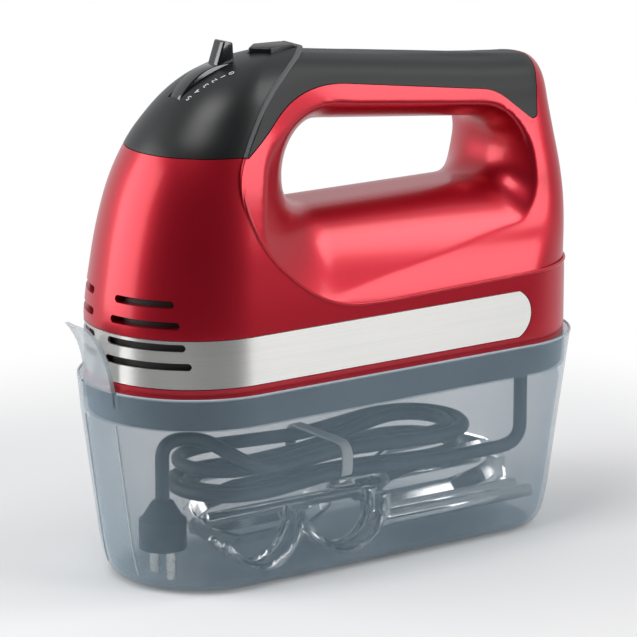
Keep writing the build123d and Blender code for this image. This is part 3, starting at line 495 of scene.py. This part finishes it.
def stadium(half, centre, rear, corner, runs=24):
    nose = arc(centre, 0, half, 90, 270, 80)
    nearRear = arc(rear - corner, corner - half, corner, -90, 0, 14)
    farRear = [(x, -y) for x, y in reversed(nearRear)]
    points = nose + runBetween(nose[-1], nearRear[0], runs) + nearRear
    return points + runBetween(nearRear[-1], farRear[0], 6) + farRear + runBetween(farRear[-1], nose[0], runs)


# a closed solid through rings of points, capped at both ends
def ringSolid(name, rings):
    mesh = bmesh.new()
    rows = [[mesh.verts.new(Vector(point) * mm) for point in ring] for ring in rings]
    for first, second in zip(rows, rows[1:]):
        for i in range(len(first)):
            mesh.faces.new((first[i - 1], first[i], second[i], second[i - 1]))
    mesh.faces.new(reversed(rows[0]))
    mesh.faces.new(rows[-1])
    bmesh.ops.recalc_face_normals(mesh, faces=mesh.faces)
    data = bpy.data.meshes.new(name)
    mesh.to_mesh(data)
    mesh.free()
    solid = bpy.data.objects.new(name, data)
    scene.collection.objects.link(solid)
    return solid


def upright(name, outline, low, high):
    return ringSolid(name, [[(x, y, z) for x, y in outline] for z in (low, high)])


def across(name, outline, half):
    return ringSolid(name, [[(x, y, z) for x, z in outline] for y in (-half, half)])


def oblong(front, back, near, far):
    return [(front, near), (back, near), (back, far), (front, far)]


def roundBar(name, place, radius, ends, along):
    circle = arc(*place, radius, 0, 360, 64)[:-1]
    if along == "y":
        return ringSolid(name, [[(x, y, z) for x, z in circle] for y in ends])
    return upright(name, circle, *ends)


def copyOf(solid, name):
    twin = bpy.data.objects.new(name, solid.data.copy())
    scene.collection.objects.link(twin)
    return twin


mergeWithin = 0.00002


def mergedCopy(node, name):
    piece = copyOf(nodes[node], name)
    selectOnly(piece)
    bpy.ops.object.mode_set(mode="EDIT")
    bpy.ops.mesh.select_all(action="SELECT")
    bpy.ops.mesh.remove_doubles(threshold=mergeWithin)
    bpy.ops.object.mode_set(mode="OBJECT")
    return piece


# one solid cut from, added to or kept inside another
def carve(piece, tool, how="DIFFERENCE", keep=True):
    cut = piece.modifiers.new("cut", "BOOLEAN")
    cut.operation = how
    cut.solver = "MANIFOLD"
    cut.object = tool
    applyAll(piece)
    if not keep:
        drop(tool)


def drop(tool):
    data = tool.data
    bpy.data.objects.remove(tool)
    bpy.data.meshes.remove(data)


def podSolid():
    rings = []
    straight = [row[0] for row in podLevels[:3]]
    start, steps = straight[-1], 76
    crown = [start + (bodySet["top"] - start) * math.sin(math.pi / 2 * i / steps) for i in range(1, steps + 1)]
    for level in straight + crown:
        narrow, centre = between(podLevels, min(level, bodySet["top"]))
        half = bodySet["half"] - narrow
        outline = stadium(half, centre, bodySet["rear"], min(bodySet["corner"], half - 1.0))
        rings.append([(x, y, level) for x, y in outline])
    return ringSolid("podSolid", rings)


# where the handle zone widens from its front, and the heel that rises at its rear
loopSet = {
    "front": (-80.0, -66.0), "widenFrom": -52.0, "widenOver": 58.0, "heel": 2.2, "heelLow": 174, "heelRise": 28,
    "heelFrom": 66, "heelRun": 40, "steps": 80,
}


def loopSolid():
    rings = []
    start, steps = loopLevels[0][0], loopSet["steps"]
    for i in range(steps + 1):
        level = start + (loopLevels[-1][0] - start) * math.sin(math.pi / 2 * i / steps)
        tilt, narrow, frontNarrow, forward, corner = between(loopLevels, level)
        half = bodySet["half"] - narrow
        front = bodySet["half"] - frontNarrow - bodySet["step"]
        corner = min(corner, half - 0.5)
        rear = bodySet["rear"] - forward
        near = [(x, -front) for x in loopSet["front"]]
        for j in range(37):
            t = j / 36
            x = loopSet["widenFrom"] + t * loopSet["widenOver"]
            near.append((x, t * t * (3 - 2 * t) * (front - half) - front))
        bend = arc(rear - corner, corner - half, corner, -90, 0, 12)
        near += runBetween(near[-1], bend[0], 20) + bend + [(rear, (corner - half) * 0.5)]
        outline = near + [(x, -y) for x, y in reversed(near)]
        lean = math.radians(tilt)
        heel = loopSet["heel"] * max(level - loopSet["heelLow"], 0) / loopSet["heelRise"]
        ring = []
        for x, y in outline:
            raised = heel * (max(x - loopSet["heelFrom"], 0) / loopSet["heelRun"]) ** 2
            ring.append((x * math.cos(lean), y, level - x * math.sin(lean) + raised))
        rings.append(ring)
    return ringSolid("loopSolid", rings)


# the tool that cuts the finger opening, rolled out to both sides
def scoopSolid():
    rings = []
    for y in range(-scoopHalf, scoopHalf + 1):
        corners, rounds = [], []
        for narrow, lip, (start, end), (inner, outer) in openingCorners:
            part = (max(abs(y) - start, 0) / (end - start)) ** rollPower
            corners.append([n + (f - n) * part for n, f in zip(narrow, lip)])
            rounds.append(inner + (outer - inner) * min(part, 1.2))
        rings.append([(x, y, z) for x, z in roundedLine(corners, rounds, True, 12, 16)])
    return ringSolid("scoopSolid", rings)


# side view lines: the crease behind the nose, its height far behind, and the lower edge of the grip
creasePoints = (
    (-10.0, 206.5), (-29.5, 197.5), (-43.0, 188.5), (-56.0, 173.0), (-60.5, 160.0), (-57.5, 145.0), (-49.0, 131.2),
    (-33.0, 117.3), (-18.0, 110.8), (0.0, 109.2), (20.0, 109.5),
)
creaseRear = 112
gripPoints = ((-56.7, 171.5), (-23.2, 195.3), (72.4, 181.7), (91.2, 166.3), (94.2, 184.0), (101.5, 197.0))
gripRounds = (0, 56.0, 22.0, 2.6, 12.0, 0)


def smoothLine(points, steps):
    line = []
    for i in range(len(points) - 1):
        a, b, c, d = (Vector(points[min(max(i + k, 0), len(points) - 1)]) for k in (-1, 0, 1, 2))
        square, cube = 2 * a - 5 * b + 4 * c - d, 3 * b - a - 3 * c + d
        for j in range(steps):
            t = j / steps
            line.append(0.5 * (2 * b + (c - a) * t + square * t * t + cube * t ** 3))
    return [tuple(p) for p in line] + [points[-1]]


creaseLine = smoothLine(creasePoints, 10)


def creaseZone(shift):
    line = [(x - shift, z) for x, z in creaseLine]
    far, top = beyond["x"], beyond["z"]
    return across("creaseZone", line + [(far, creaseRear), (far, top), (line[0][0], top)], beyond["y"])


def gripZone(shift):
    edge = roundedLine([(x + shift, z - shift) for x, z in gripPoints], gripRounds, False, 14, 10)
    far, top = beyond["x"], beyond["z"]
    return across("gripZone", edge + [(edge[-1][0], top), (-far, top), (-far, edge[0][1])], beyond["y"])


def slab(low, high):
    far = beyond["x"]
    return across("slab", oblong(-far, far, low, high), beyond["y"])


# steel band: its heights and bowed end, and the bed that it lies on
bandSet = {
    "low": 84.5, "high": 104.0, "end": 74.0, "bow": 6.0, "gap": 0.3, "half": 42.6, "centre": -59.0, "rear": 107.1,
    "corner": 33.1,
}


def bandZone(gap):
    bow, far = bandSet["bow"], beyond["x"]
    low, high = bandSet["low"] + gap, bandSet["high"] - gap
    middle, reach = (low + high) / 2, (high - low) / 2
    radius = (bow * bow + reach * reach) / (2 * bow)
    spread = math.degrees(math.asin(reach / radius))
    end = arc(bandSet["end"] - gap - radius, middle, radius, -spread, spread, 24)
    return across("bandZone", [(-far, low)] + end + [(-far, high)], beyond["y"])


# bead along the crease, over the top and round behind the shoulders; it grows thicker on its way up
beadSet = {
    "low": 0.65, "high": 1.25, "from": 120, "over": 80, "behind": 20.0, "climb": 0.0192, "inset": 0.2, "apart": 0.05,
}


def onPod(x, z):
    narrow, centre = between(podLevels, z)
    half = bodySet["half"] - narrow
    return half if x > centre else math.sqrt(max(half * half - (x - centre) ** 2, 0))


# round bar along a path, with a radius for each point
def tube(name, path, radii, aside):
    rings = []
    for i, here in enumerate(path):
        ahead = (path[min(i + 1, len(path) - 1)] - path[max(i - 1, 0)]).normalized()
        aside = (aside - ahead * aside.dot(ahead)).normalized()
        other = ahead.cross(aside)
        rings.append([here + aside * c + other * d for c, d in arc(0, 0, radii[i], 0, 360, 12)[:-1]])
    return ringSolid(name, rings)


def beadSolid():
    side = [(x, -onPod(x, z), z) for x, z in creaseLine if z < bodySet["top"]]
    side = [(side[0][0], -beadSet["apart"], side[0][2])] + side
    behind = []
    inset = beadSet["inset"]
    corner = bodySet["corner"] - inset
    for x, y in stadium(bodySet["half"] - inset, podLevels[2][2], bodySet["rear"] - inset, corner):
        if x > beadSet["behind"] + 1:
            behind.append((x, y, creasePoints[-1][1] + (x - beadSet["behind"]) * beadSet["climb"]))
    path = [Vector(p) for p in side + behind + [(x, -y, z) for x, y, z in reversed(side)]]
    shares = [min(max((here.z - beadSet["from"]) / beadSet["over"], 0), 1) for here in path]
    radii = [beadSet["low"] + (beadSet["high"] - beadSet["low"]) * share for share in shares]
    return tube("beadSolid", path, radii, Vector((0, 0, 1)))


# vents: slots with round ends, cut in towards the middle of the nose
# each row: height, first and last angle from the nose
ventSet = {
    "rows": ((93.6, 4, 54), (101.0, 6, 51), (109.6, 8, 48), (117.6, 10, 45)), "half": 1.5, "centre": -58.0, "end": 2.0,
    "reach": (30, 64), "least": 0.06, "well": 1.6, "bandRows": 2,
}


def ventSolid(row, side, grow):
    height, first, last = row
    first, last = first - grow, last + grow
    end, half = ventSet["end"], ventSet["half"] + grow / 2
    rounded = [(end * (1 - math.cos(math.pi / 12 * k)), math.sin(math.pi / 12 * k)) for k in range(7)]
    turns = [(first + turn, share) for turn, share in rounded]
    turns += [(first + end + (last - first - 2 * end) * k / 12, 1.0) for k in range(1, 12)]
    turns += [(last - turn, share) for turn, share in reversed(rounded)]
    inner, outer = ventSet["reach"]
    rings = []
    for turn, share in turns:
        angle = math.radians(180 + side * turn)
        rise = half * max(share, ventSet["least"])
        rings.append([
            (ventSet["centre"] + r * math.cos(angle), r * math.sin(angle), height + z)
            for r, z in ((inner, -rise), (outer, -rise), (outer, rise), (inner, rise))
        ])
    return ringSolid("vent", rings)


# hollows of the nose, of the shoulders under the handle, and of the neck
podHollows = (
    (70.6, 108.0, 2.4, -59.0, 105.6), (108.0, 143.0, 6.2, -56.5, 105.6), (143.0, 173.0, 13.6, -52.0, 0.0),
    (173.0, 189.0, 21.6, -45.5, 0.0), (189.0, 198.0, 29.5, -39.0, 0.0),
)
saddleLevels = ((97.0, 3.4), (109.0, 3.8), (118.0, 8.6), (126.0, 19.0), (132.0, 28.0))
saddleSet = {"rear": 105.6, "corner": 31.6}
boxHollows = ((-66.0, -38.0, 13.0, 124.0, 192.0), (-42.0, -11.0, 12.5, 183.5, 198.0))
overlap = 0.01


def hollowPod(piece):
    for low, high, inset, centre, rear in podHollows:
        half = bodySet["half"] - inset
        outline = stadium(half, centre, rear, min(bodySet["corner"] - inset, half - 1.0), 2)
        carve(piece, upright("hollow", outline, low, high + overlap), keep=False)


def hollowLoop(piece):
    rings = []
    for level, narrow in saddleLevels:
        half = bodySet["half"] - narrow
        outline = stadium(half, -bodySet["half"], saddleSet["rear"] - narrow, min(saddleSet["corner"], half - 1.0), 2)
        rings.append([(x, y, level) for x, y in outline])
    carve(piece, ringSolid("hollow", rings), keep=False)
    for front, back, wide, low, high in boxHollows:
        carve(piece, upright("hollow", oblong(front, back, -wide, wide), low, high), keep=False)


# speed dial with its leaning thumb tab, and the arrow of the eject button
dialSet = {
    "centre": (-46.7, 178.0), "radius": 24.3, "half": 3.6, "slot": 4.1, "play": 0.5, "axle": 2.5, "reach": 9,
    "tab": ((-51.2, 199.0), (-50.0, 202.2), (-46.9, 211.2), (-42.6, 210.2), (-42.0, 199.0)), "tabHalf": 3.5,
    "edge": (0.6, 3, 50), "tabEdge": (0.7, 4, 20),
    "sector": (
        (-40.5, 172.0), (-40.5, 183.9), (-15.0, 183.9), (-15.0, 225.0), (-90.0, 225.0), (-90.0, 189.6),
        (-52.0, 179.4), (-52.0, 172.0),
    ),
}
buttonSet = {
    "outline": ((-33.4, 0), (-27.2, -6.3), (-14.8, -4.6), (-14.8, 4.6), (-27.2, 6.3)), "gap": 0.52,
    "low": 194.0, "top": 206.9, "travel": 3.0, "holeLow": 173, "edge": (0.9, 3, 40),
}


def buttonHole():
    middle = sum(x for x, y in buttonSet["outline"]) / len(buttonSet["outline"])
    outline = []
    for x, y in buttonSet["outline"]:
        out = Vector((x - middle, y)).normalized() * buttonSet["gap"]
        outline.append((x + out.x, y + out.y))
    return upright("buttonHole", outline, buttonSet["holeLow"], beyond["z"])


# the room that the dial needs, lifted to where a sinking piece meets it
def dialRoom(lift):
    x, z = dialSet["centre"]
    slot = dialSet["slot"]
    return roundBar("dialRoom", (x, z + lift), dialSet["radius"] + dialSet["play"], (-slot, slot), "y")


def soften(piece, width, segments, angle):
    bevel = piece.modifiers.new("soft", "BEVEL")
    bevel.width = width * mm
    bevel.segments = segments
    bevel.limit_method = "ANGLE"
    bevel.angle_limit = math.radians(angle)
    applyAll(piece)


def makeDial():
    half, reach = dialSet["half"], dialSet["reach"]
    dial = roundBar("dialShell", dialSet["centre"], dialSet["radius"], (-half, half), "y")
    carve(dial, across("dialSector", dialSet["sector"], reach), "INTERSECT", keep=False)
    soften(dial, *dialSet["edge"])
    tab = across("dialTab", dialSet["tab"], dialSet["tabHalf"])
    soften(tab, *dialSet["tabEdge"])
    carve(dial, tab, "UNION", keep=False)
    carve(dial, roundBar("axleHole", dialSet["centre"], dialSet["axle"], (-reach, reach), "y"), keep=False)
    return dial


def makeButton():
    button = upright("buttonShell", buttonSet["outline"], buttonSet["low"], buttonSet["top"])
    soften(button, *buttonSet["edge"])
    for lift in (0, buttonSet["travel"]):
        carve(button, dialRoom(lift), keep=False)
    return button


# even mesh of the handle zone, laid along the handle's top while it is made
loopMesh = {"voxel": 0.0009, "smooth": 30, "lean": 8.8}


def makeLoop():
    loop = loopSolid()
    carve(loop, scoopSolid(), keep=False)
    lean = Matrix.Rotation(math.radians(-loopMesh["lean"]), 4, "Y")
    loop.data.transform(lean)
    selectOnly(loop)
    loop.data.remesh_voxel_size = loopMesh["voxel"]
    bpy.ops.object.voxel_remesh()
    smooth = loop.modifiers.new("smooth", "SMOOTH")
    smooth.factor = 0.5
    smooth.iterations = loopMesh["smooth"]
    applyAll(loop)
    loop.data.transform(lean.inverted())
    return loop


# holes in the underside: two spindles, the cord, four screws
baseHoles = (
    (-52.0, -21.0, 7.0), (-52.0, 21.0, 7.0), (84.0, -24.0, 6.0),
    (-78.0, 0.0, 3.0), (-20.0, 30.0, 3.0), (-20.0, -30.0, 3.0), (60.0, 0.0, 3.0),
)
holeEnds = (60, 74)
# painted shade: a dark sheet behind the vents that stands for the shade inside them, wider behind the band, where the
# housing is thin
ventShadeSet = {"centre": -59.0, "corner": 3.0, "parts": ((38.4, 87.0, 122.0), (40.9, 86.5, 107.6)), "rear": -40.0}
ventShadeHollow = {"half": 37.4, "low": 80.0, "high": 130.0, "rear": -20.0}


def makeScreen():
    solids = []
    for half, low, high in ventShadeSet["parts"]:
        outline = stadium(half, ventShadeSet["centre"], ventShadeSet["rear"], ventShadeSet["corner"], 2)
        solids.append(upright("ventScreen", outline, low, high))
    shadeSheet, wide = solids
    carve(shadeSheet, wide, "UNION", keep=False)
    outline = stadium(ventShadeHollow["half"], ventShadeSet["centre"], ventShadeHollow["rear"], ventShadeSet["corner"], 2)
    carve(shadeSheet, upright("hollow", outline, ventShadeHollow["low"], ventShadeHollow["high"]), keep=False)
    return shadeSheet


def makeBody():
    pod = podSolid()
    loop = makeLoop()
    rows, bandRows = ventSet["rows"], ventSet["bandRows"]
    bandVents = [ventSolid(row, side, 0) for row in rows[:bandRows] for side in (-1, 1)]
    upperVents = [ventSolid(row, side, 0) for row in rows[bandRows:] for side in (-1, 1)]
    wells = [ventSolid(row, side, ventSet["well"]) for row in rows[:bandRows] for side in (-1, 1)]
    outline = stadium(bandSet["half"], bandSet["centre"], bandSet["rear"], bandSet["corner"])
    bed = upright("bandBed", outline, bandSet["low"], bandSet["high"])
    recess = bandZone(0)
    carve(recess, bed)

    # steel band, which keeps a gap to its recess
    band = copyOf(pod, "bandShell")
    carve(band, bed, keep=False)
    carve(band, bandZone(bandSet["gap"]), "INTERSECT", keep=False)

    # lower housing, and its underside as a piece of its own
    lower = copyOf(pod, "lowerShell")
    carve(lower, slab(0, bodySet["seam"]), "INTERSECT", keep=False)
    carve(lower, recess)
    hollowPod(lower)
    for x, y, radius in baseHoles:
        carve(lower, roundBar("hole", (x, y), radius, holeEnds, "z"), keep=False)

    base = copyOf(lower, "baseShell")
    carve(base, slab(0, bodySet["rim"]), "INTERSECT", keep=False)
    carve(lower, slab(bodySet["rim"], beyond["z"]), "INTERSECT", keep=False)

    # upper housing: nose, handle zone and the red part of the bead
    upper = copyOf(pod, "upperShell")
    carve(upper, slab(bodySet["seam"], bodySet["cover"]), "INTERSECT", keep=False)
    carve(upper, creaseZone(0), keep=False)
    carve(upper, recess, keep=False)
    hollowPod(upper)
    back = copyOf(loop, "upperBack")
    carve(back, creaseZone(bodySet["lap"]), "INTERSECT", keep=False)
    carve(back, gripZone(bodySet["line"]), keep=False)
    hollowLoop(back)
    carve(upper, back, "UNION", keep=False)
    bead = beadSolid()
    redBead = copyOf(bead, "redBead")
    carve(redBead, slab(bodySet["seam"], bodySet["cover"]), "INTERSECT", keep=False)
    carve(upper, redBead, "UNION", keep=False)

    # vents, wider wells behind those in the band, and the dark sheet of painted shade behind them all
    for vent in bandVents:
        carve(band, vent, keep=False)
    for vent in upperVents:
        carve(upper, vent, keep=False)
    for well in wells:
        carve(upper, well)
        carve(lower, well, keep=False)
    shadeSheet = makeScreen()

    # cover with the part of the bead that is painted light grey as the crease's highlight, the dial's slot and its
    # share of the button's hole
    cover = copyOf(pod, "coverShell")
    gap = 2 * bodySet["line"]
    carve(cover, slab(bodySet["cover"] + gap, beyond["z"]), "INTERSECT", keep=False)
    carve(cover, creaseZone(gap), keep=False)
    hollowPod(cover)
    carve(bead, slab(bodySet["cover"] + gap, beyond["z"]), "INTERSECT", keep=False)
    carve(cover, dialRoom(0), keep=False)
    carve(cover, buttonHole(), keep=False)

    # what is left of the handle zone is the grip
    carve(loop, creaseZone(0), "INTERSECT", keep=False)
    carve(loop, gripZone(-bodySet["line"]), "INTERSECT", keep=False)
    hollowLoop(loop)
    carve(loop, buttonHole(), keep=False)
    loop.name = "gripShell"
    bead.name = "creaseBead"
    drop(pod)
    return (
        ("upper_housing", upper), ("lower_housing", lower), ("lower_housing", base), ("control_cover", cover),
        ("handle_grip", loop), ("trim_band", band), ("upper_housing", shadeSheet), ("control_cover", bead),
    )


# storage case with a smooth tapered wall; each level: height, half width, nose centre, rear end
caseSet = {
    "levels": (
        (0.0, 31.4, -57.5, 93.8), (0.4, 32.8, -57.5, 95.2), (1.4, 34.4, -57.6, 96.8), (3.2, 36.0, -57.7, 98.4),
        (6.0, 37.3, -57.8, 99.7), (10.0, 38.3, -57.9, 100.7), (16.0, 39.3, -58.1, 101.9), (42.0, 42.4, -58.5, 105.3),
        (68.0, 45.3, -59.0, 109.0), (77.0, 46.1, -59.0, 110.2), (81.0, 46.5, -59.0, 111.0),
    ),
    "hollow": (
        (2.0, 32.2, -57.5, 94.6), (2.6, 33.6, -57.6, 96.0), (4.4, 35.0, -57.7, 97.4), (8.0, 36.2, -57.8, 98.6),
        (16.0, 37.5, -58.1, 100.1), (42.0, 40.6, -58.5, 103.5), (61.0, 42.6, -58.8, 106.2), (65.0, 41.3, -59.0, 105.8),
        (68.02, 41.3, -59.0, 105.8),
    ),
    "collar": (68.0, 81.5, 44.0, 108.5, 34.5), "centre": -59.0, "less": 9.6,
    "slit": (10.5, 11.7), "slitEnds": (-120, -90), "slitLow": 75.0, "top": 120, "tabEnds": (-140, -100), "tabLow": 80.9,
    "rim": 0.5, "rimStart": 0.6, "rimGap": 0.5, "mouldLine": 0.4, "mouldLevels": (4, 9),
}


def caseRings(levels):
    rings = []
    for level, half, centre, rear in levels:
        rings.append([(x, y, level) for x, y in stadium(half, centre, rear, half - caseSet["less"])])
    return rings


# the bright line along the rim, a painted highlight, open at the pull tab, and the mould lines below the tab's slits,
# painted as highlights too
def makeRim():
    near, far = caseSet["slit"]
    nose, inset = caseSet["slitEnds"][1], caseSet["rim"]
    level, half, centre, rear = caseSet["levels"][-1]
    outline = stadium(half - inset, centre, rear - inset, half - inset - caseSet["less"])
    start = next(i for i, (x, y) in enumerate(outline) if x < nose and y < -far - caseSet["rimStart"])
    outline = outline[start:] + outline[:start]
    path = [Vector((x, y, level)) for x, y in outline if x > nose or abs(y) > far + caseSet["rimGap"]]
    aside = Vector((0.3, 0.2, 1))
    rim = tube("caseRim", path, [caseSet["rim"]] * len(path), aside)
    first, last = caseSet["mouldLevels"]
    for side in (-1, 1):
        run = []
        for level, half, centre, rear in caseSet["levels"][first:last]:
            turn = math.asin(side * (near + far) / 2 / half)
            run.append(Vector((centre - half * math.cos(turn), half * math.sin(turn), level)))
        carve(rim, tube("mouldLine", run, [caseSet["mouldLine"]] * len(run), aside), "UNION", keep=False)
    return rim


def makeCase():
    case = ringSolid("caseShell", caseRings(caseSet["levels"]))
    carve(case, ringSolid("hollow", caseRings(caseSet["hollow"])), keep=False)
    low, high, half, rear, corner = caseSet["collar"]
    carve(case, upright("hollow", stadium(half, caseSet["centre"], rear, corner), low, high), keep=False)
    near, far = caseSet["slit"]
    for side in (-1, 1):
        slit = oblong(*caseSet["slitEnds"], side * near, side * far)
        carve(case, upright("slit", slit, caseSet["slitLow"], caseSet["top"]), keep=False)
    rim = makeRim()
    tab = mergedCopy("storage_case", "caseTab")
    tabRoom = upright("tabRoom", oblong(*caseSet["tabEnds"], -near, near), caseSet["tabLow"], caseSet["top"])
    carve(tab, tabRoom, "INTERSECT", keep=False)
    return (("storage_case", case), ("storage_case", rim), ("storage_case", tab))


# shells that keep the solid's form: a merged copy, shaded smooth below an angle
shellSet = {
    "beater_1": ("beaterOne", 40), "beater_2": ("beaterTwo", 40),
    "dough_hook_1": ("hookOne", 65), "dough_hook_2": ("hookTwo", 65), "plug": ("plugShell", 35),
}
smoothBelow = 28


def standFor(piece, node, angle):
    selectOnly(piece)
    bpy.ops.object.shade_smooth_by_angle(angle=math.radians(angle))
    piece.data.materials.clear()
    piece.data.materials.append(finishes[slotOf[node]])
    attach(piece, bodyOf[node])
    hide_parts(node)


shells = {}
for node, (name, angle) in shellSet.items():
    shells[name] = mergedCopy(node, name)
    standFor(shells[name], node, angle)
for node, piece in (*makeBody(), *makeCase(), ("speed_dial", makeDial()), ("eject_button", makeButton())):
    shells[piece.name] = piece
    standFor(piece, node, smoothBelow)
shells["buttonShell"].data.materials[0] = finishes["black_cover"]
# dark finish for the underside, and for the sheet behind the vents, where the dark is painted shade
for name in ("baseShell", "ventScreen"):
    shells[name].data.materials[0] = finishes["dark_plastic"]
# painted highlight: the cover's part of the crease bead is light grey to stand for the light line along the crease on
# the black
shells["creaseBead"].data.materials[0] = mouldedPlastic("paintedCreaseHighlight", (0.07, 0.075, 0.08), (0.1, 0.105, 0.11))
# painted highlight: the rim and mould lines take a pale frosted colour that stands for the light they catch
shells["caseRim"].data.materials[0] = frosted("caseEdgeHighlights", 0.6)
shells["caseTab"].data.materials[0] = frosted("frostedTab", 0.42)
print("shells made:", len(shells))

# strap round the waist of the wound cord
tieSet = {
    "half": 20.6, "low": 30.2, "high": 46.4, "round": 6.0, "thick": 1.0, "wide": 5.0, "edge": (0.25, 2, 50),
    "smooth": 35,
}


def strap(name, inset, wide):
    half = tieSet["half"] - inset
    corners = oblong(-half, half, tieSet["low"] + inset, tieSet["high"] - inset)
    outline = roundedLine(corners, [tieSet["round"] - inset] * 4, True, 10, 8)
    return ringSolid(name, [[(x, y, z) for y, z in outline] for x in (-wide, wide)])


def makeTie():
    wide = tieSet["wide"] / 2
    tie = strap("cordTie", 0, wide)
    carve(tie, strap("hollow", tieSet["thick"], wide + 1), keep=False)
    soften(tie, *tieSet["edge"])
    selectOnly(tie)
    bpy.ops.object.shade_smooth_by_angle(angle=math.radians(tieSet["smooth"]))
    tie.data.materials.append(finishes["cord_dark"])
    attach(tie, "case")
    return tie


cordTie = makeTie()
print("cord tied")

# speed marks on the near side of the cover, read from behind
markSet = {"size": 3.4, "first": (-48.0, -10.4), "last": (-65.8, -7.4), "count": 6, "depth": 0.12, "lift": 0.08}


def whitePrint():
    f = Finish("whitePrint")
    wear = f.noise(700.0, 3.0)
    return f.surface({
        "Base Color": f.mixed(wear, (0.62, 0.62, 0.6), (0.78, 0.78, 0.76)),
        "Roughness": 0.5 + wear * 0.1,
    })


printWhite = whitePrint()


def makeMark(number, x, y):
    above = Vector((x, y, beyond["z"])) * mm
    place, normal = shells["coverShell"].ray_cast(above, Vector((0, 0, -1)))[1:3]
    bpy.ops.object.select_all(action="DESELECT")
    bpy.ops.object.text_add()
    mark = bpy.context.object
    mark.data.body = str(number)
    mark.data.size = markSet["size"] * mm
    mark.data.align_x = "CENTER"
    mark.data.align_y = "CENTER"
    mark.data.extrude = markSet["depth"] * mm / 2
    bpy.ops.object.convert(target="MESH")
    mark = bpy.context.object
    sideways = (Vector((0, 1, 0)) - normal * normal.y).normalized()
    upward = normal.cross(sideways)
    turn = Matrix((sideways, upward, normal)).transposed().to_4x4()
    mark.data.transform(Matrix.Translation(place + normal * markSet["lift"] * mm) @ turn)
    mark.name = f"speedMark.{number}"
    mark.data.materials.clear()
    mark.data.materials.append(printWhite)
    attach(mark, "mixer")


for number in range(markSet["count"]):
    share = number / (markSet["count"] - 1)
    makeMark(number, *(a + share * (b - a) for a, b in zip(markSet["first"], markSet["last"])))
print("speed marks printed")

# pale floor that runs out into a white background; the room is dark on the camera's side
studioSet = {
    "floor": 0.36, "sink": 0.0003, "fadeFrom": 0.19, "fadeTo": 0.34, "roomSide": (-0.57, -0.82, 0.0), "room": 0.05,
    "fill": 0.42, "fillReach": 0.5, "behind": 0.8, "behindReach": 0.4, "tint": (0.96, 0.98, 1.0, 1),
}


def paleFloor():
    f = Finish("paleFloor")
    cloud = f.noise(3.0, 2.0)
    shader = f.node("BsdfPrincipled", sockets={
        "Base Color": f.mixed(cloud, (0.84, 0.845, 0.85), (0.88, 0.885, 0.89)),
        "Roughness": 0.6 + cloud * 0.1,
    })
    glow = f.node("Emission", sockets={"Color": (1, 1, 1, 1), "Strength": 1.0})
    place = f.node("TexCoord", out="Object")
    reach = f.node("VectorMath", {"operation": "LENGTH"}, {0: place}, out="Value")
    fade = f.fade(reach, studioSet["fadeFrom"], studioSet["fadeTo"])
    direct, mirrored, through = f.rays("Camera", "Glossy", "Transmission")
    behind = f.along(place, studioSet["roomSide"]).maths("LESS_THAN", 0.0)
    share = fade * direct.orMore(through).orMore(mirrored * behind)
    return f.close(f.blend(share, shader, glow))


def studioWorld():
    f = Finish("studioWorld", "World")
    side = f.along(f.node("TexCoord", out="Generated"), studioSet["roomSide"])
    glows = []
    for name in ("fill", "behind"):
        reach = studioSet[name + "Reach"]
        strength = f.fade(side, -reach, reach, (studioSet[name], studioSet["room"]))
        glows.append(f.node("Background", sockets={"Color": studioSet["tint"], "Strength": strength}))
    white = f.node("Background", sockets={"Color": (1, 1, 1, 1)})
    direct, mirrored, through = f.rays("Camera", "Glossy", "Transmission")
    return f.close(f.blend(direct.orMore(through), f.blend(mirrored, *glows), white))


bpy.ops.object.select_all(action="DESELECT")
bpy.ops.mesh.primitive_circle_add(
    vertices=96, radius=studioSet["floor"], fill_type="NGON", location=(0, 0, -studioSet["sink"]),
)
floor = bpy.context.object
floor.name = "studioFloor"
floor.data.materials.append(paleFloor())
scene.world = studioWorld()

# soft boxes: place, what they face, size, power
lampSet = (
    ("leftBox", (-1.0, 0.55, 0.42), (-0.05, 0, 0.1), (0.9, 0.9), 10.0),
    ("topBox", (-0.45, -0.1, 1.2), (0, 0, 0.1), (0.5, 0.5), 6.0),
    ("rightBox", (0.88, -1.27, 0.62), (0.05, 0, 0.12), (0.75, 0.85), 11.0),
    ("rearBox", (0.8, -0.45, 1.15), (0.05, 0, 0.13), (0.45, 0.45), 4.5),
)
for name, place, target, (wide, high), power in lampSet:
    bpy.ops.object.light_add(type="AREA", location=place)
    lamp = bpy.context.object
    lamp.name = name
    lamp.data.shape = "RECTANGLE"
    lamp.data.size = wide
    lamp.data.size_y = high
    lamp.data.energy = power
    lamp.rotation_euler = (Vector(target) - lamp.location).to_track_quat("-Z", "Y").to_euler()
print("studio lit")
